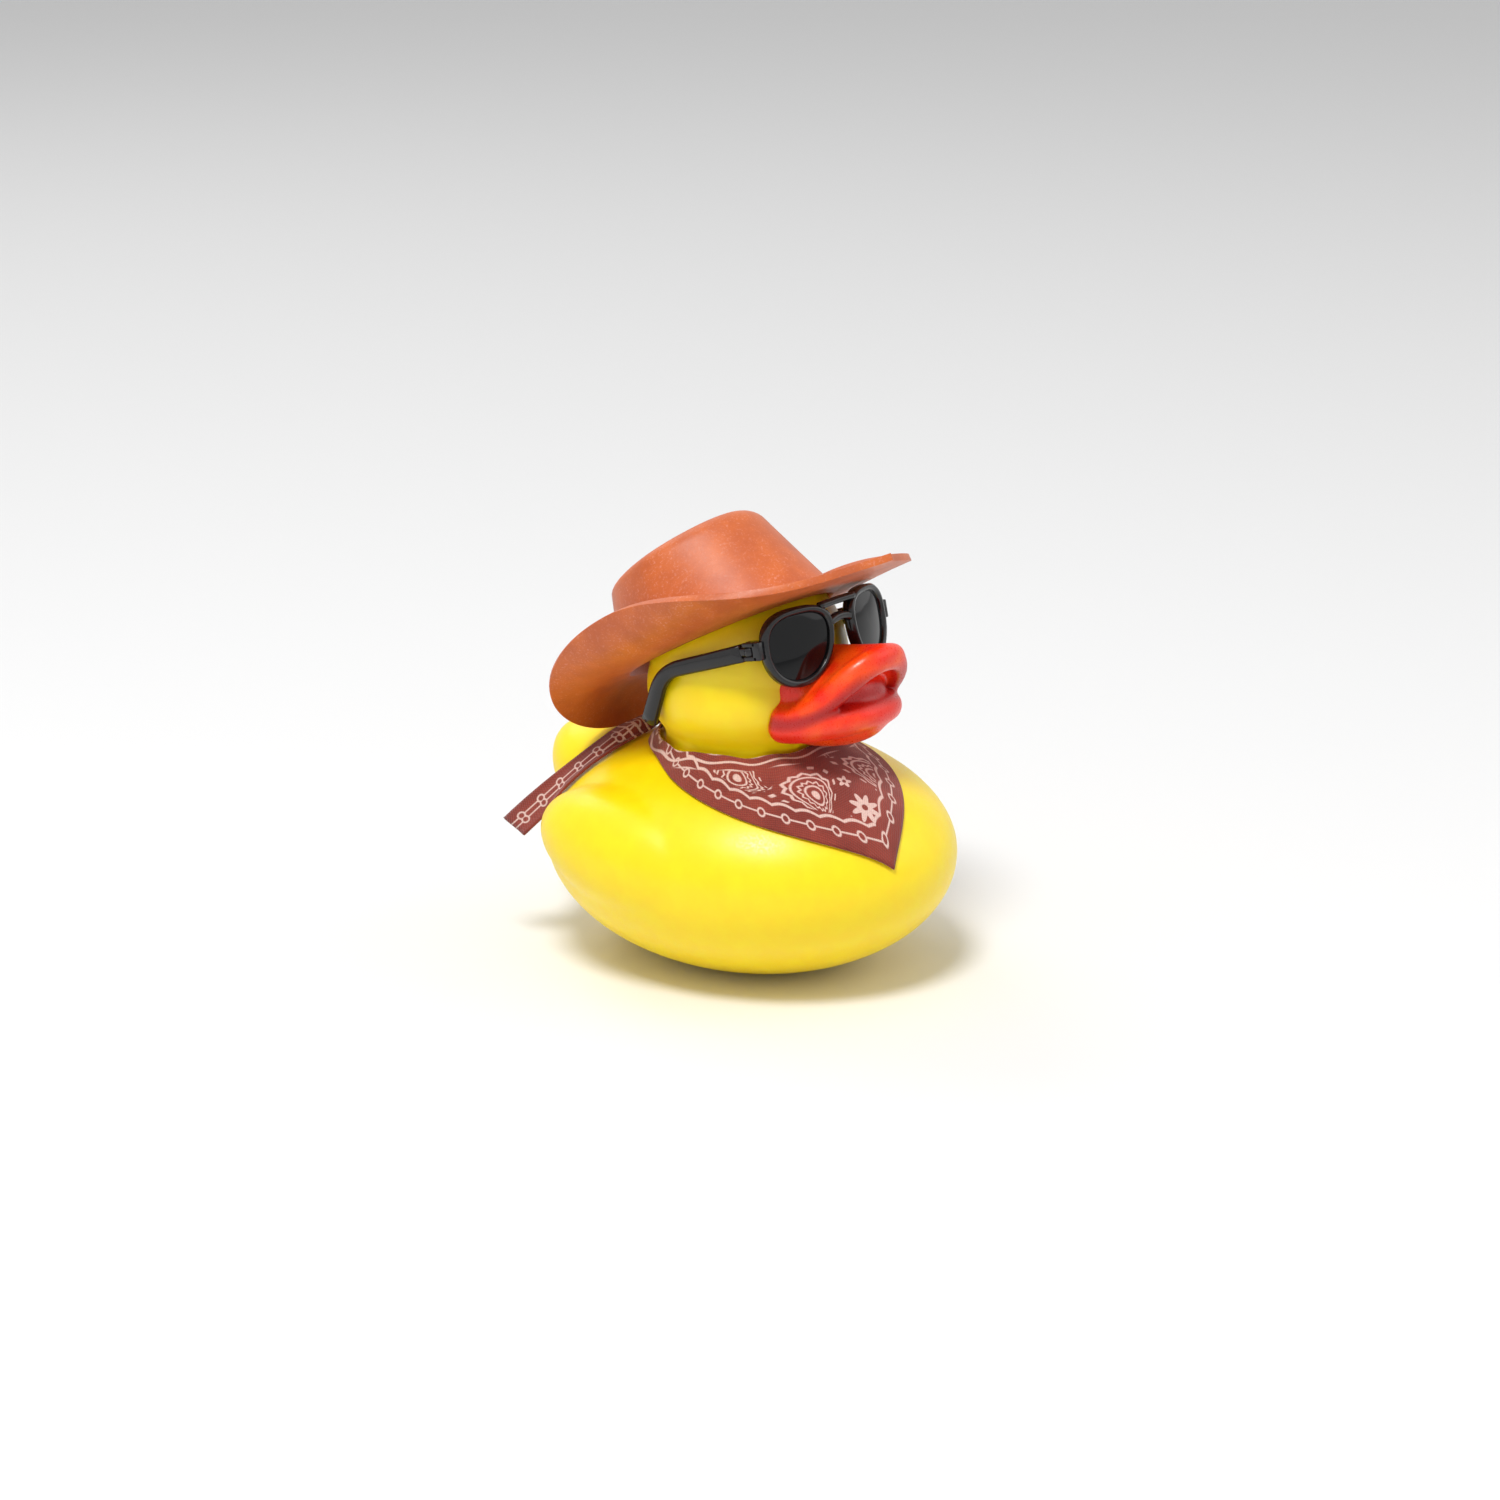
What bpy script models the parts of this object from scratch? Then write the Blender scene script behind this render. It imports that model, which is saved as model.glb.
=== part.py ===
"""Rubber duck in a cowboy hat, aviator sunglasses and a knotted bandana.

The duck is one hollow vinyl casting with its bill, wings and tail, and a whistle plugs the hole in
its base. The hat rests tipped back on the head. The sunglasses are a front with two lenses and two
hinged temples. The bandana is one piece of cloth round the neck, tied behind.

The duck faces -Y, its right side is -X and its base stands on z = 0. The pieces are modelled round
the middle of the round body, and an empty then moves them all so that the origin is under the
middle of the whole length, tail included. Local frames of the hat and of the sunglasses also
face -Y.
"""

import math

import bmesh
import bpy
from mathutils import Matrix, Vector

MM = 0.001

# Fits
FIT_GAP = 0.3 * MM
CLOTH_GAP = 0.6 * MM
HAT_EASE = 0.5 * MM
SEAT_EASE = 0.4 * MM

# Body
BODY_LENGTH = 67.6 * MM
BODY_WIDTH = 57.0 * MM
BODY_TOP = 35.8 * MM
BODY_WAIST = 18.5 * MM
BODY_FORWARD = 2.1 * MM
BASE_FLAT_DEPTH = 1.0 * MM
VINYL_WALL = 1.6 * MM
BASE_WALL = 2.4 * MM
TAIL_LENGTH = 5.6 * MM
TAIL_MIDDLE = 22.2 * MM
TAIL_WIDTH = 18.5 * MM
TAIL_HEIGHT = 16.3 * MM
TAIL_ROOT_DEPTH = 8.5 * MM
TAIL_PITCH = math.radians(32.0)
WING_LENGTH = 38.0 * MM
WING_HEIGHT = 19.0 * MM
WING_RAISE = 1.2 * MM
WING_THICKNESS = 18.2 * MM
WING_MIDDLE = 20.0 * MM
WING_BACK = 4.6 * MM
WING_TILT = math.radians(8.0)

# Head
HEAD_RADIUS = 15.2 * MM
HEAD_HEIGHT = 47.6 * MM
CHEEK_RADIUS = 15.8 * MM
CHEEK_DROP = 4.0 * MM
CHEEK_HEIGHT = 24.0 * MM
NECK_RADIUS = 12.9 * MM
NECK_HEIGHT = 18.2 * MM

# Bill
BILL_RIM_RADIUS = 1.7 * MM
BILL_LIP_RADIUS = 2.4 * MM
BILL_CORNER_SIDE = 9.5 * MM
BILL_CORNER_BACK = 13.2 * MM
BILL_CORNER_HEIGHT = 42.3 * MM
BILL_TIP_REACH = 25.0 * MM
BILL_TIP_HEIGHT = 51.2 * MM
BILL_ROOT_HEIGHT = 50.4 * MM
BILL_CREST_HEIGHT = 52.2 * MM
LIP_CORNER_SIDE = 8.8 * MM
LIP_CORNER_HEIGHT = 40.7 * MM
LIP_REACH = 23.3 * MM
LIP_HEIGHT = 43.0 * MM
BILL_CORE_SIDE = 9.0 * MM
BILL_CORE_REACH = 23.8 * MM
BILL_CORE_HEIGHT = 10.4 * MM
BOWL_SIDE = 9.0 * MM
BOWL_REACH = 24.8 * MM
BOWL_HEIGHT = 10.6 * MM

# Whistle
WHISTLE_RADIUS = 4.2 * MM
WHISTLE_FLANGE = 1.4 * MM
WHISTLE_RECESS = 1.2 * MM
WHISTLE_HEIGHT = 7.0 * MM
WHISTLE_BEAD = 0.7 * MM
WHISTLE_BORE = 1.2 * MM

# Hat
HAT_PITCH = math.radians(29.0)
HAT_ROLL = math.radians(2.5)
HAT_SEAT = 5.4 * MM
HAT_SETBACK = 2.1 * MM
HAT_WALL = 1.1 * MM
HAT_OPENING_LENGTH = 35.4 * MM
CROWN_HEIGHT = 15.9 * MM
CROWN_TAPER = 2.6 * MM
CROWN_FRONT_LEAN = 5.9 * MM
CROWN_REAR_LEAN = 0.5 * MM
CROWN_REAR_DROP = 3.9 * MM
CROWN_PINCH = 0.24
CROWN_SHOULDER = 1.7 * MM
CROWN_CREASE = 1.5 * MM
BRIM_FRONT = 16.0 * MM
BRIM_REAR = 12.4 * MM
BRIM_SIDE = 11.0 * MM
BRIM_FRONT_TAPER = 0.5
BRIM_FRONT_SPREAD = 4.6
BRIM_REAR_SPREAD = 2.0
BRIM_SIDE_START = math.radians(2.0)
BRIM_RIGHT_ROLL = math.radians(78.0)
BRIM_LEFT_ROLL = math.radians(46.0)
BRIM_FRONT_DIP = math.radians(2.0)
BRIM_REAR_DIP = math.radians(62.0)

# Sunglasses
GLASSES_TILT = math.radians(12.0)
GLASSES_REACH = 15.8 * MM
GLASSES_HEIGHT = 53.7 * MM
GLASSES_WRAP = math.radians(16.0)
LENS_SPACING = 16.2 * MM
RIM_OUTER_WIDTH = 14.2 * MM
RIM_OUTER_HEIGHT = 11.8 * MM
RIM_BAR = 1.05 * MM
RIM_DEPTH = 1.8 * MM
RIM_LIP = 0.6 * MM
RIM_TOP_SQUARENESS = 0.74
RIM_BOTTOM_SQUARENESS = 0.95
RIM_NARROWING = 0.2
RIM_LEAN = 0.14
LENS_THICKNESS = 0.7 * MM
BROW_BAR_RADIUS = 0.6 * MM
BROW_BAR_DROP = 0.1 * MM
NOSE_BAR_RADIUS = 0.7 * MM
NOSE_BAR_RISE = 3.1 * MM
NOSE_BAR_DROP = 0.8 * MM
HINGE_SIDE = 15.3 * MM
HINGE_REACH = 12.0 * MM
HINGE_RISE = 0.9 * MM
LUG_WIDTH = 1.4 * MM
LUG_HEIGHT = 2.8 * MM
HINGE_SLOT = 1.3 * MM
HINGE_PIN_RADIUS = 0.35 * MM
HINGE_PIN_EASE = 0.2 * MM
TONGUE_RADIUS = 0.85 * MM
TONGUE_NECK_INSET = 0.05 * MM
TEMPLE_HEIGHT = 2.7 * MM
TEMPLE_THICKNESS = 1.3 * MM
TEMPLE_SLOPE = math.radians(19.6)
TEMPLE_LENGTH = 17.0 * MM
TEMPLE_SPLAY = 0.8 * MM
TEMPLE_SPLAY_LENGTH = 7.0 * MM
TEMPLE_HOOK_DROP = 8.0 * MM
TEMPLE_HOOK_BACK = 5.2 * MM
TEMPLE_HOOK_IN = 0.9 * MM
TEMPLE_HOOK_BEND = 3.6 * MM

# Bandana
CLOTH_THICKNESS = 0.5 * MM
COLLAR_RADIUS = 13.8 * MM
COLLAR_LIFT = 0.9 * MM
TIP_TURN = math.radians(-12.0)
TIP_REACH = 33.0 * MM
BAND_REACH = 15.4 * MM
RIGHT_HEM_SPAN = math.radians(108.0)
RIGHT_HEM_FALL = 1.4
LEFT_HEM_SPAN = math.radians(60.0)
LEFT_HEM_FALL = 1.15
KNOT_LENGTH = 5.2 * MM
KNOT_HEIGHT = 3.8 * MM
KNOT_DEPTH = 3.4 * MM
KNOT_BACK = 17.4 * MM
KNOT_LIFT = 0.5 * MM
KNOT_TAIL_SIDE = 1.6 * MM
TAIL_CLOTH_WIDTH = 5.0 * MM
NEAR_TAIL_SPREAD = 18.5 * MM
NEAR_TAIL_BACK = 13.5 * MM
NEAR_TAIL_DROP = 16.5 * MM
FAR_TAIL_SPREAD = 15.0 * MM
FAR_TAIL_BACK = 11.0 * MM
FAR_TAIL_DROP = 13.0 * MM
TAIL_ARCH_OUT = 0.84
TAIL_ARCH_BACK = 0.11
TAIL_ARCH_DROP = 0.24
TAIL_FACING = (0.75, -0.1, 0.65)

# Bill curves
BILL_FULLNESS = 0.8
RIM_UPTURN = 1.7
LIP_UPTURN = 1.0

# Mesh fineness
SKIN_VOXEL = 0.8 * MM
SKIN_SMOOTHING = 8
SKIN_SMOOTH_FACTOR = 0.5
SKIN_FACES_KEPT = 0.06
CAVITY_FACES_KEPT = 0.03
WELD_DISTANCE = 0.01 * MM
BALL_SEGMENTS = 40
SMALL_BALL_SEGMENTS = 16
BILL_STEPS = 10
ROUND_STEPS = 32
HOLE_STEPS = 24
PIN_STEPS = 16
RING_STEPS = 40
CREASE_ROWS = (0.75, 0.5, 0.25)
CROWN_ROWS = (1.0, 0.95, 0.85, 0.65, 0.4, 0.2, 0.0)
BRIM_ROWS = 9
BRIM_STRIDES = 12
HOOK_BENDS = 5
SPLAY_STEPS = 6
CLOTH_ROWS = 7
CLOTH_TAIL_STEPS = 12
TIP_CROWDING = 1.5

# Derived places
BODY_HALF_LENGTH = BODY_LENGTH / 2
BODY_HALF_WIDTH = BODY_WIDTH / 2
BODY_BELOW = BODY_WAIST + BASE_FLAT_DEPTH
BODY_ABOVE = BODY_TOP - BODY_WAIST
HEAD_CENTRE = Vector((0, 0, HEAD_HEIGHT))
SEAT_RADIUS = math.sqrt(HEAD_RADIUS ** 2 - HAT_SEAT ** 2)
OPENING_HALF_WIDTH = SEAT_RADIUS + HAT_EASE
OPENING_HALF_LENGTH = HAT_OPENING_LENGTH / 2

parts = bpy.data.collections.new("rubber_duck")
cutters = bpy.data.collections.new("cutters")


def clear_scene():
    """Removes whatever the scene held and adds the two collections."""
    for item in list(bpy.data.objects):
        bpy.data.objects.remove(item, do_unlink=True)
    bpy.context.scene.collection.children.link(parts)
    bpy.context.scene.collection.children.link(cutters)


def material(name, colour, roughness, metallic=0.0):
    """Makes a plain Principled material."""
    made = bpy.data.materials.new(name)
    made.use_nodes = True
    shader = made.node_tree.nodes["Principled BSDF"]
    shader.inputs["Base Color"].default_value = (*colour, 1.0)
    shader.inputs["Roughness"].default_value = roughness
    shader.inputs["Metallic"].default_value = metallic
    return made


def place(item, collection):
    """Moves an object from wherever it is linked into one collection."""
    for owner in list(item.users_collection):
        owner.objects.unlink(item)
    collection.objects.link(item)


def object_from_bmesh(name, shape, collection=None):
    """Wraps a bmesh as an object."""
    mesh = bpy.data.meshes.new(name)
    shape.to_mesh(mesh)
    shape.free()
    item = bpy.data.objects.new(name, mesh)
    (collection or parts).objects.link(item)
    return item


def as_cutter(item):
    """Marks an object as a cutter that is not part of the model."""
    place(item, cutters)
    item.hide_render = True
    item.display_type = "WIRE"
    return item


def bake(item):
    """Replaces an object's mesh by its evaluated mesh, with no modifiers left."""
    view = bpy.context.evaluated_depsgraph_get()
    mesh = bpy.data.meshes.new_from_object(item.evaluated_get(view))
    mesh.transform(item.matrix_world)
    made = bpy.data.objects.new(item.name, mesh)
    collection = item.users_collection[0]
    name = item.name
    bpy.data.objects.remove(item, do_unlink=True)
    collection.objects.link(made)
    made.name = name
    weld = bmesh.new()
    weld.from_mesh(mesh)
    bmesh.ops.remove_doubles(weld, verts=weld.verts, dist=WELD_DISTANCE)
    weld.to_mesh(mesh)
    weld.free()
    return made


def boolean(target, tool, operation):
    """Cuts, joins or keeps the shared part of two objects, and uses up the tool."""
    step = target.modifiers.new(operation.title(), "BOOLEAN")
    step.operation = operation
    step.solver = "EXACT"
    step.object = tool
    bpy.context.view_layer.update()
    made = bake(target)
    bpy.data.objects.remove(tool, do_unlink=True)
    return made


def add_ball(shape, centre, radii, pitch=0.0, above=None, coarse=False):
    """Adds an ellipsoid to a bmesh; above gives its upper half another height."""
    segments = SMALL_BALL_SEGMENTS if coarse else BALL_SEGMENTS
    ball = bmesh.ops.create_uvsphere(shape, u_segments=segments, v_segments=segments * 3 // 5, radius=1.0)
    turn = Matrix.Rotation(pitch, 4, "X")
    for vertex in ball["verts"]:
        height = above if above is not None and vertex.co.z > 0 else radii[2]
        vertex.co = Vector((vertex.co.x * radii[0], vertex.co.y * radii[1], vertex.co.z * height))
        vertex.co = turn @ vertex.co + Vector(centre)


def box(name, low, high):
    """Makes a box from two corners."""
    shape = bmesh.new()
    bmesh.ops.create_cube(shape, size=1.0)
    size = Vector(high) - Vector(low)
    middle = (Vector(high) + Vector(low)) / 2
    for vertex in shape.verts:
        vertex.co = Vector(a * b for a, b in zip(vertex.co, size)) + middle
    return object_from_bmesh(name, shape)


def cylinder(name, radius, low, high, centre=(0, 0), segments=HOLE_STEPS):
    """Makes an upright cylinder between two heights."""
    shape = bmesh.new()
    bmesh.ops.create_cone(shape, cap_ends=True, segments=segments, radius1=radius, radius2=radius,
                          depth=high - low)
    bmesh.ops.translate(shape, verts=shape.verts, vec=(centre[0], centre[1], (low + high) / 2))
    return object_from_bmesh(name, shape)


def skin(item, kept):
    """Melts overlapping lobes into one smooth closed skin with few faces."""
    remesh = item.modifiers.new("Remesh", "REMESH")
    remesh.mode = "VOXEL"
    remesh.voxel_size = SKIN_VOXEL
    smooth = item.modifiers.new("Smooth", "SMOOTH")
    smooth.factor = SKIN_SMOOTH_FACTOR
    smooth.iterations = SKIN_SMOOTHING
    fewer = item.modifiers.new("Decimate", "DECIMATE")
    fewer.ratio = kept
    bpy.context.view_layer.update()
    return bake(item)


def body_lobes(shape, inset):
    """Adds the body, tail and wings, each drawn in by the inset."""
    half_width = BODY_HALF_WIDTH - inset
    half_length = BODY_HALF_LENGTH - inset
    below = BODY_BELOW - BASE_FLAT_DEPTH - BASE_WALL if inset else BODY_BELOW
    add_ball(shape, (0, 0, BODY_WAIST), (half_width, half_length, below), above=BODY_ABOVE - inset)
    tail_radii = (TAIL_WIDTH / 2 - inset, TAIL_LENGTH + TAIL_ROOT_DEPTH - inset, TAIL_HEIGHT / 2 - inset)
    add_ball(shape, (0, BODY_HALF_LENGTH - TAIL_ROOT_DEPTH, TAIL_MIDDLE), tail_radii, pitch=TAIL_PITCH)
    if inset:
        return
    wing_side = BODY_HALF_WIDTH + WING_RAISE - WING_THICKNESS / 2
    for side in (-1, 1):
        add_ball(shape, (side * wing_side, WING_BACK, WING_MIDDLE),
                 (WING_THICKNESS / 2, WING_LENGTH / 2, WING_HEIGHT / 2), pitch=WING_TILT)


def head_lobes(shape, inset):
    """Adds the head, cheeks and neck, each drawn in by the inset."""
    add_ball(shape, HEAD_CENTRE, (HEAD_RADIUS - inset,) * 3)
    add_ball(shape, HEAD_CENTRE - Vector((0, 0, CHEEK_DROP)),
             (CHEEK_RADIUS - inset, CHEEK_RADIUS - inset, CHEEK_HEIGHT / 2 - inset))
    add_ball(shape, (0, 0, BODY_TOP), (NECK_RADIUS - inset, NECK_RADIUS - inset, NECK_HEIGHT / 2))


def bill_edge(share, corner_side, corner_height, reach, tip_height, upturn):
    """A point of a bill's edge; share runs from -1 at one corner over 0 at the tip to 1."""
    turn = share * math.pi / 2
    ahead = math.cos(turn)
    across = corner_side * math.copysign(abs(math.sin(turn)) ** BILL_FULLNESS, share)
    along = -(BILL_CORNER_BACK + (reach - BILL_CORNER_BACK) * ahead ** BILL_FULLNESS)
    return Vector((across, along, corner_height + (tip_height - corner_height) * ahead ** upturn))


def add_roll(shape, points, radius):
    """Adds overlapping balls along a line, which the skin melts into a roll."""
    for point in points:
        add_ball(shape, point, (radius,) * 3, coarse=True)


def bill_lobes(shape):
    """Adds the upturned upper bill over a full lower lip, with a hollow between their edges."""
    shares = [step / BILL_STEPS for step in range(-BILL_STEPS, BILL_STEPS + 1)]
    rim = [bill_edge(share, BILL_CORNER_SIDE, BILL_CORNER_HEIGHT, BILL_TIP_REACH, BILL_TIP_HEIGHT,
                     RIM_UPTURN)
           for share in shares]
    lip = [bill_edge(share, LIP_CORNER_SIDE, LIP_CORNER_HEIGHT, LIP_REACH, LIP_HEIGHT, LIP_UPTURN)
           for share in shares]
    add_roll(shape, rim, BILL_RIM_RADIUS)
    add_roll(shape, lip, BILL_LIP_RADIUS)
    for left, right in zip(rim[:BILL_STEPS], reversed(rim[BILL_STEPS + 1:])):
        walked = (left.y + BILL_CORNER_BACK) / (BILL_CORNER_BACK - BILL_TIP_REACH)
        crest = BILL_ROOT_HEIGHT + (BILL_CREST_HEIGHT - BILL_ROOT_HEIGHT) * walked
        rows = [left.lerp(right, (step + 1) / BILL_STEPS) for step in range(BILL_STEPS - 1)]
        for point in rows:
            middle = 1 - abs(point.x / BILL_CORNER_SIDE)
            point.z += max(0.0, crest - left.z) * middle
        add_roll(shape, rows, BILL_RIM_RADIUS)
    middle_height = (BILL_CORNER_HEIGHT + BILL_TIP_HEIGHT) / 2
    add_ball(shape, (0, -BILL_CORNER_BACK, middle_height - BILL_RIM_RADIUS / 2),
             (BILL_CORE_SIDE, BILL_CORE_REACH - BILL_CORNER_BACK, BILL_CORE_HEIGHT / 2))
    add_ball(shape, (0, -BILL_CORNER_BACK, (LIP_CORNER_HEIGHT + LIP_HEIGHT) / 2),
             (BOWL_SIDE, BOWL_REACH - BILL_CORNER_BACK, BOWL_HEIGHT / 2))


def duck_body():
    """The hollow vinyl casting, open only at the whistle hole, and its solid form for the cloth."""
    outside = bmesh.new()
    body_lobes(outside, 0.0)
    head_lobes(outside, 0.0)
    bill_lobes(outside)
    duck = skin(object_from_bmesh("duck_body", outside), SKIN_FACES_KEPT)
    form = bpy.data.objects.new("cloth_form", duck.data.copy())
    cutters.objects.link(form)
    as_cutter(form)

    hollow = bmesh.new()
    body_lobes(hollow, VINYL_WALL)
    head_lobes(hollow, VINYL_WALL)
    cavity = skin(object_from_bmesh("cavity", hollow), CAVITY_FACES_KEPT)
    duck = boolean(duck, as_cutter(cavity), "DIFFERENCE")

    reach = BODY_LENGTH
    ground = box("ground", (-reach, -reach, -reach), (reach, reach, 0))
    duck = boolean(duck, as_cutter(ground), "DIFFERENCE")
    for side in (-1, 1):
        half_depth = RIM_DEPTH / 2 + SEAT_EASE
        seat = outline_plate("seat", aviator_outline(side, -SEAT_EASE), -half_depth, half_depth)
        seat = moved(seat, glasses_matrix() @ lens_matrix(side))
        duck = boolean(duck, as_cutter(seat), "DIFFERENCE")
    recess = cylinder("recess", WHISTLE_RADIUS + WHISTLE_FLANGE + FIT_GAP, -BODY_WAIST, WHISTLE_RECESS)
    duck = boolean(duck, as_cutter(recess), "DIFFERENCE")
    hole = cylinder("hole", WHISTLE_RADIUS + FIT_GAP, -BODY_WAIST, BODY_WAIST)
    duck = boolean(duck, as_cutter(hole), "DIFFERENCE")
    duck.data.shade_smooth()
    return duck, form


def whistle():
    """The turned plug that snaps into the base hole, with its air bore."""
    flange_bottom = FIT_GAP
    flange_top = WHISTLE_RECESS - FIT_GAP
    bead_low = BASE_WALL + 3 * FIT_GAP
    bead_high = bead_low + 2 * WHISTLE_BEAD
    flange = WHISTLE_RADIUS + WHISTLE_FLANGE
    profile = [
        (WHISTLE_BORE, WHISTLE_HEIGHT),
        (WHISTLE_RADIUS - WHISTLE_BEAD, WHISTLE_HEIGHT),
        (WHISTLE_RADIUS, WHISTLE_HEIGHT - WHISTLE_BEAD),
        (WHISTLE_RADIUS, bead_high),
        (WHISTLE_RADIUS + WHISTLE_BEAD, bead_low + WHISTLE_BEAD),
        (WHISTLE_RADIUS, bead_low),
        (WHISTLE_RADIUS, flange_top),
        (flange, flange_top),
        (flange, flange_bottom),
        (WHISTLE_BORE, flange_bottom),
    ]
    shape = bmesh.new()
    ring = [shape.verts.new((radius, 0, height)) for radius, height in profile]
    for first, second in zip(ring, ring[1:] + ring[:1]):
        shape.edges.new((first, second))
    plug = object_from_bmesh("squeaker", shape)
    turned = plug.modifiers.new("Screw", "SCREW")
    turned.steps = ROUND_STEPS
    turned.render_steps = ROUND_STEPS
    turned.use_merge_vertices = True
    turned.merge_threshold = WELD_DISTANCE
    turned.use_normal_calculate = False
    return plug


def hat_matrix():
    """The hat's frame: its opening is the plane z = 0, tipped back on the head."""
    tilt = Matrix.Rotation(-HAT_PITCH, 4, "X") @ Matrix.Rotation(HAT_ROLL, 4, "Y")
    centre = HEAD_CENTRE + tilt.to_3x3() @ Vector((0, HAT_SETBACK, HAT_SEAT))
    return Matrix.Translation(centre) @ tilt


def brim_section(turn):
    """Width, first slope and roll of the brim at an angle from the front."""
    ahead = math.cos(turn) > 0
    side = abs(math.sin(turn)) ** (BRIM_FRONT_SPREAD if ahead else BRIM_REAR_SPREAD)
    long_width = BRIM_FRONT if ahead else BRIM_REAR
    dip = BRIM_FRONT_DIP if ahead else BRIM_REAR_DIP
    narrowing = abs(math.sin(turn)) ** BRIM_FRONT_TAPER if ahead else side
    width = long_width + (BRIM_SIDE - long_width) * narrowing
    start = BRIM_SIDE_START * side
    side_roll = BRIM_RIGHT_ROLL + (BRIM_LEFT_ROLL - BRIM_RIGHT_ROLL) * (1 + math.sin(turn)) / 2
    roll = side_roll * side - dip * (1 - side)
    return width, start, roll


def crown_point(turn, height, inward=0.0):
    """A point of the crown's outer wall at one height, drawn in by a share of its size."""
    lean = CROWN_TAPER * height / CROWN_HEIGHT
    near_top = max(0.0, (height - (CROWN_HEIGHT - CROWN_SHOULDER)) / CROWN_SHOULDER)
    lean += CROWN_SHOULDER * (1 - math.sqrt(max(0.0, 1 - near_top ** 2)))
    share = height / CROWN_HEIGHT
    forward = math.cos(turn)
    half_width = (OPENING_HALF_WIDTH + HAT_WALL - lean) * (1 - inward)
    half_width *= 1 - CROWN_PINCH * share * max(0.0, forward)
    lean += (CROWN_FRONT_LEAN if forward > 0 else CROWN_REAR_LEAN) * share
    half_length = (OPENING_HALF_LENGTH + HAT_WALL - lean) * (1 - inward)
    rise = height - CROWN_REAR_DROP * share * (1 - forward) / 2
    return Vector((half_width * math.sin(turn), -half_length * forward, rise))


def cowboy_hat():
    """One moulded shell: creased crown and a brim rolled up at the sides."""
    shape = bmesh.new()
    turns = [2 * math.pi * step / RING_STEPS for step in range(RING_STEPS)]
    rows = []
    for inward in CREASE_ROWS:
        row = []
        for turn in turns:
            point = crown_point(turn, CROWN_HEIGHT, inward)
            point.z -= CROWN_CREASE * math.cos(math.pi / 2 * (1 - inward)) ** 2
            row.append(point)
        rows.append(row)
    for share in CROWN_ROWS:
        rows.append([crown_point(turn, CROWN_HEIGHT * share) for turn in turns])
    for step in range(1, BRIM_ROWS + 1):
        row = []
        for turn in turns:
            width, start, roll = brim_section(turn)
            point = crown_point(turn, 0.0)
            outward = Vector((point.x, point.y, 0)).normalized()
            walked = step / BRIM_ROWS
            stride = width * walked / BRIM_STRIDES
            for count in range(BRIM_STRIDES):
                slope = start + roll * walked * (count + 0.5) / BRIM_STRIDES
                point += outward * (stride * math.cos(slope)) + Vector((0, 0, stride * math.sin(slope)))
            row.append(point)
        rows.append(row)

    grid = [[shape.verts.new(point) for point in row] for row in rows]
    top = shape.verts.new((0, 0, CROWN_HEIGHT - CROWN_CREASE - CROWN_REAR_DROP / 2))
    for column in range(RING_STEPS):
        following = (column + 1) % RING_STEPS
        shape.faces.new((top, grid[0][column], grid[0][following]))
        for upper, lower in zip(grid, grid[1:]):
            shape.faces.new((upper[column], lower[column], lower[following], upper[following]))
    hat = object_from_bmesh("cowboy_hat", shape)
    hat.matrix_world = hat_matrix()
    shell = hat.modifiers.new("Solidify", "SOLIDIFY")
    shell.thickness = HAT_WALL
    shell.offset = -1.0
    shell.use_even_offset = True
    hat.data.shade_smooth()
    return hat


def glasses_matrix():
    """The sunglasses' frame: origin midway between the lenses, tilted like the front."""
    return Matrix.Translation((0, -GLASSES_REACH, GLASSES_HEIGHT)) @ Matrix.Rotation(-GLASSES_TILT, 4, "X")


def lens_matrix(side):
    """The frame of one lens, turned back by the wrap of the front."""
    return Matrix.Translation((side * LENS_SPACING / 2, 0, 0)) @ Matrix.Rotation(side * GLASSES_WRAP, 4, "Z")


def aviator_outline(side, inset):
    """The drop-shaped lens outline, wider above and fuller at its outer lower side."""
    half_width = RIM_OUTER_WIDTH / 2 - inset
    half_height = RIM_OUTER_HEIGHT / 2 - inset
    points = []
    for step in range(ROUND_STEPS):
        turn = 2 * math.pi * step / ROUND_STEPS
        power = RIM_TOP_SQUARENESS if math.sin(turn) > 0 else RIM_BOTTOM_SQUARENESS
        across = math.copysign(abs(math.cos(turn)) ** power, math.cos(turn))
        up = math.copysign(abs(math.sin(turn)) ** power, math.sin(turn))
        narrowing = 1 - RIM_NARROWING * (1 - up) / 2
        lean = RIM_LEAN * half_width * (1 - up) / 2
        points.append((side * (across * half_width * narrowing + lean), up * half_height))
    return points


def outline_plate(name, outline, front, back):
    """A flat plate of an outline in the X-Z plane, between two depths along Y."""
    curve = bpy.data.curves.new(name, "CURVE")
    curve.dimensions = "2D"
    curve.fill_mode = "BOTH"
    curve.extrude = abs(back - front) / 2
    spline = curve.splines.new("POLY")
    spline.points.add(len(outline) - 1)
    for point, (across, up) in zip(spline.points, outline):
        point.co = (across, up, 0, 1)
    spline.use_cyclic_u = True
    item = bpy.data.objects.new(name, curve)
    parts.objects.link(item)
    item.matrix_world = Matrix.Translation((0, (front + back) / 2, 0)) @ Matrix.Rotation(math.pi / 2, 4, "X")
    bpy.context.view_layer.update()
    return bake(item)


def tube(name, points, radius, resolution=2):
    """A round bar through points, with filled ends."""
    curve = bpy.data.curves.new(name, "CURVE")
    curve.dimensions = "3D"
    curve.bevel_depth = radius
    curve.bevel_resolution = resolution
    curve.use_fill_caps = True
    spline = curve.splines.new("POLY")
    spline.points.add(len(points) - 1)
    for point, place_at in zip(spline.points, points):
        point.co = (*place_at, 1)
    item = bpy.data.objects.new(name, curve)
    parts.objects.link(item)
    bpy.context.view_layer.update()
    return bake(item)


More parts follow.
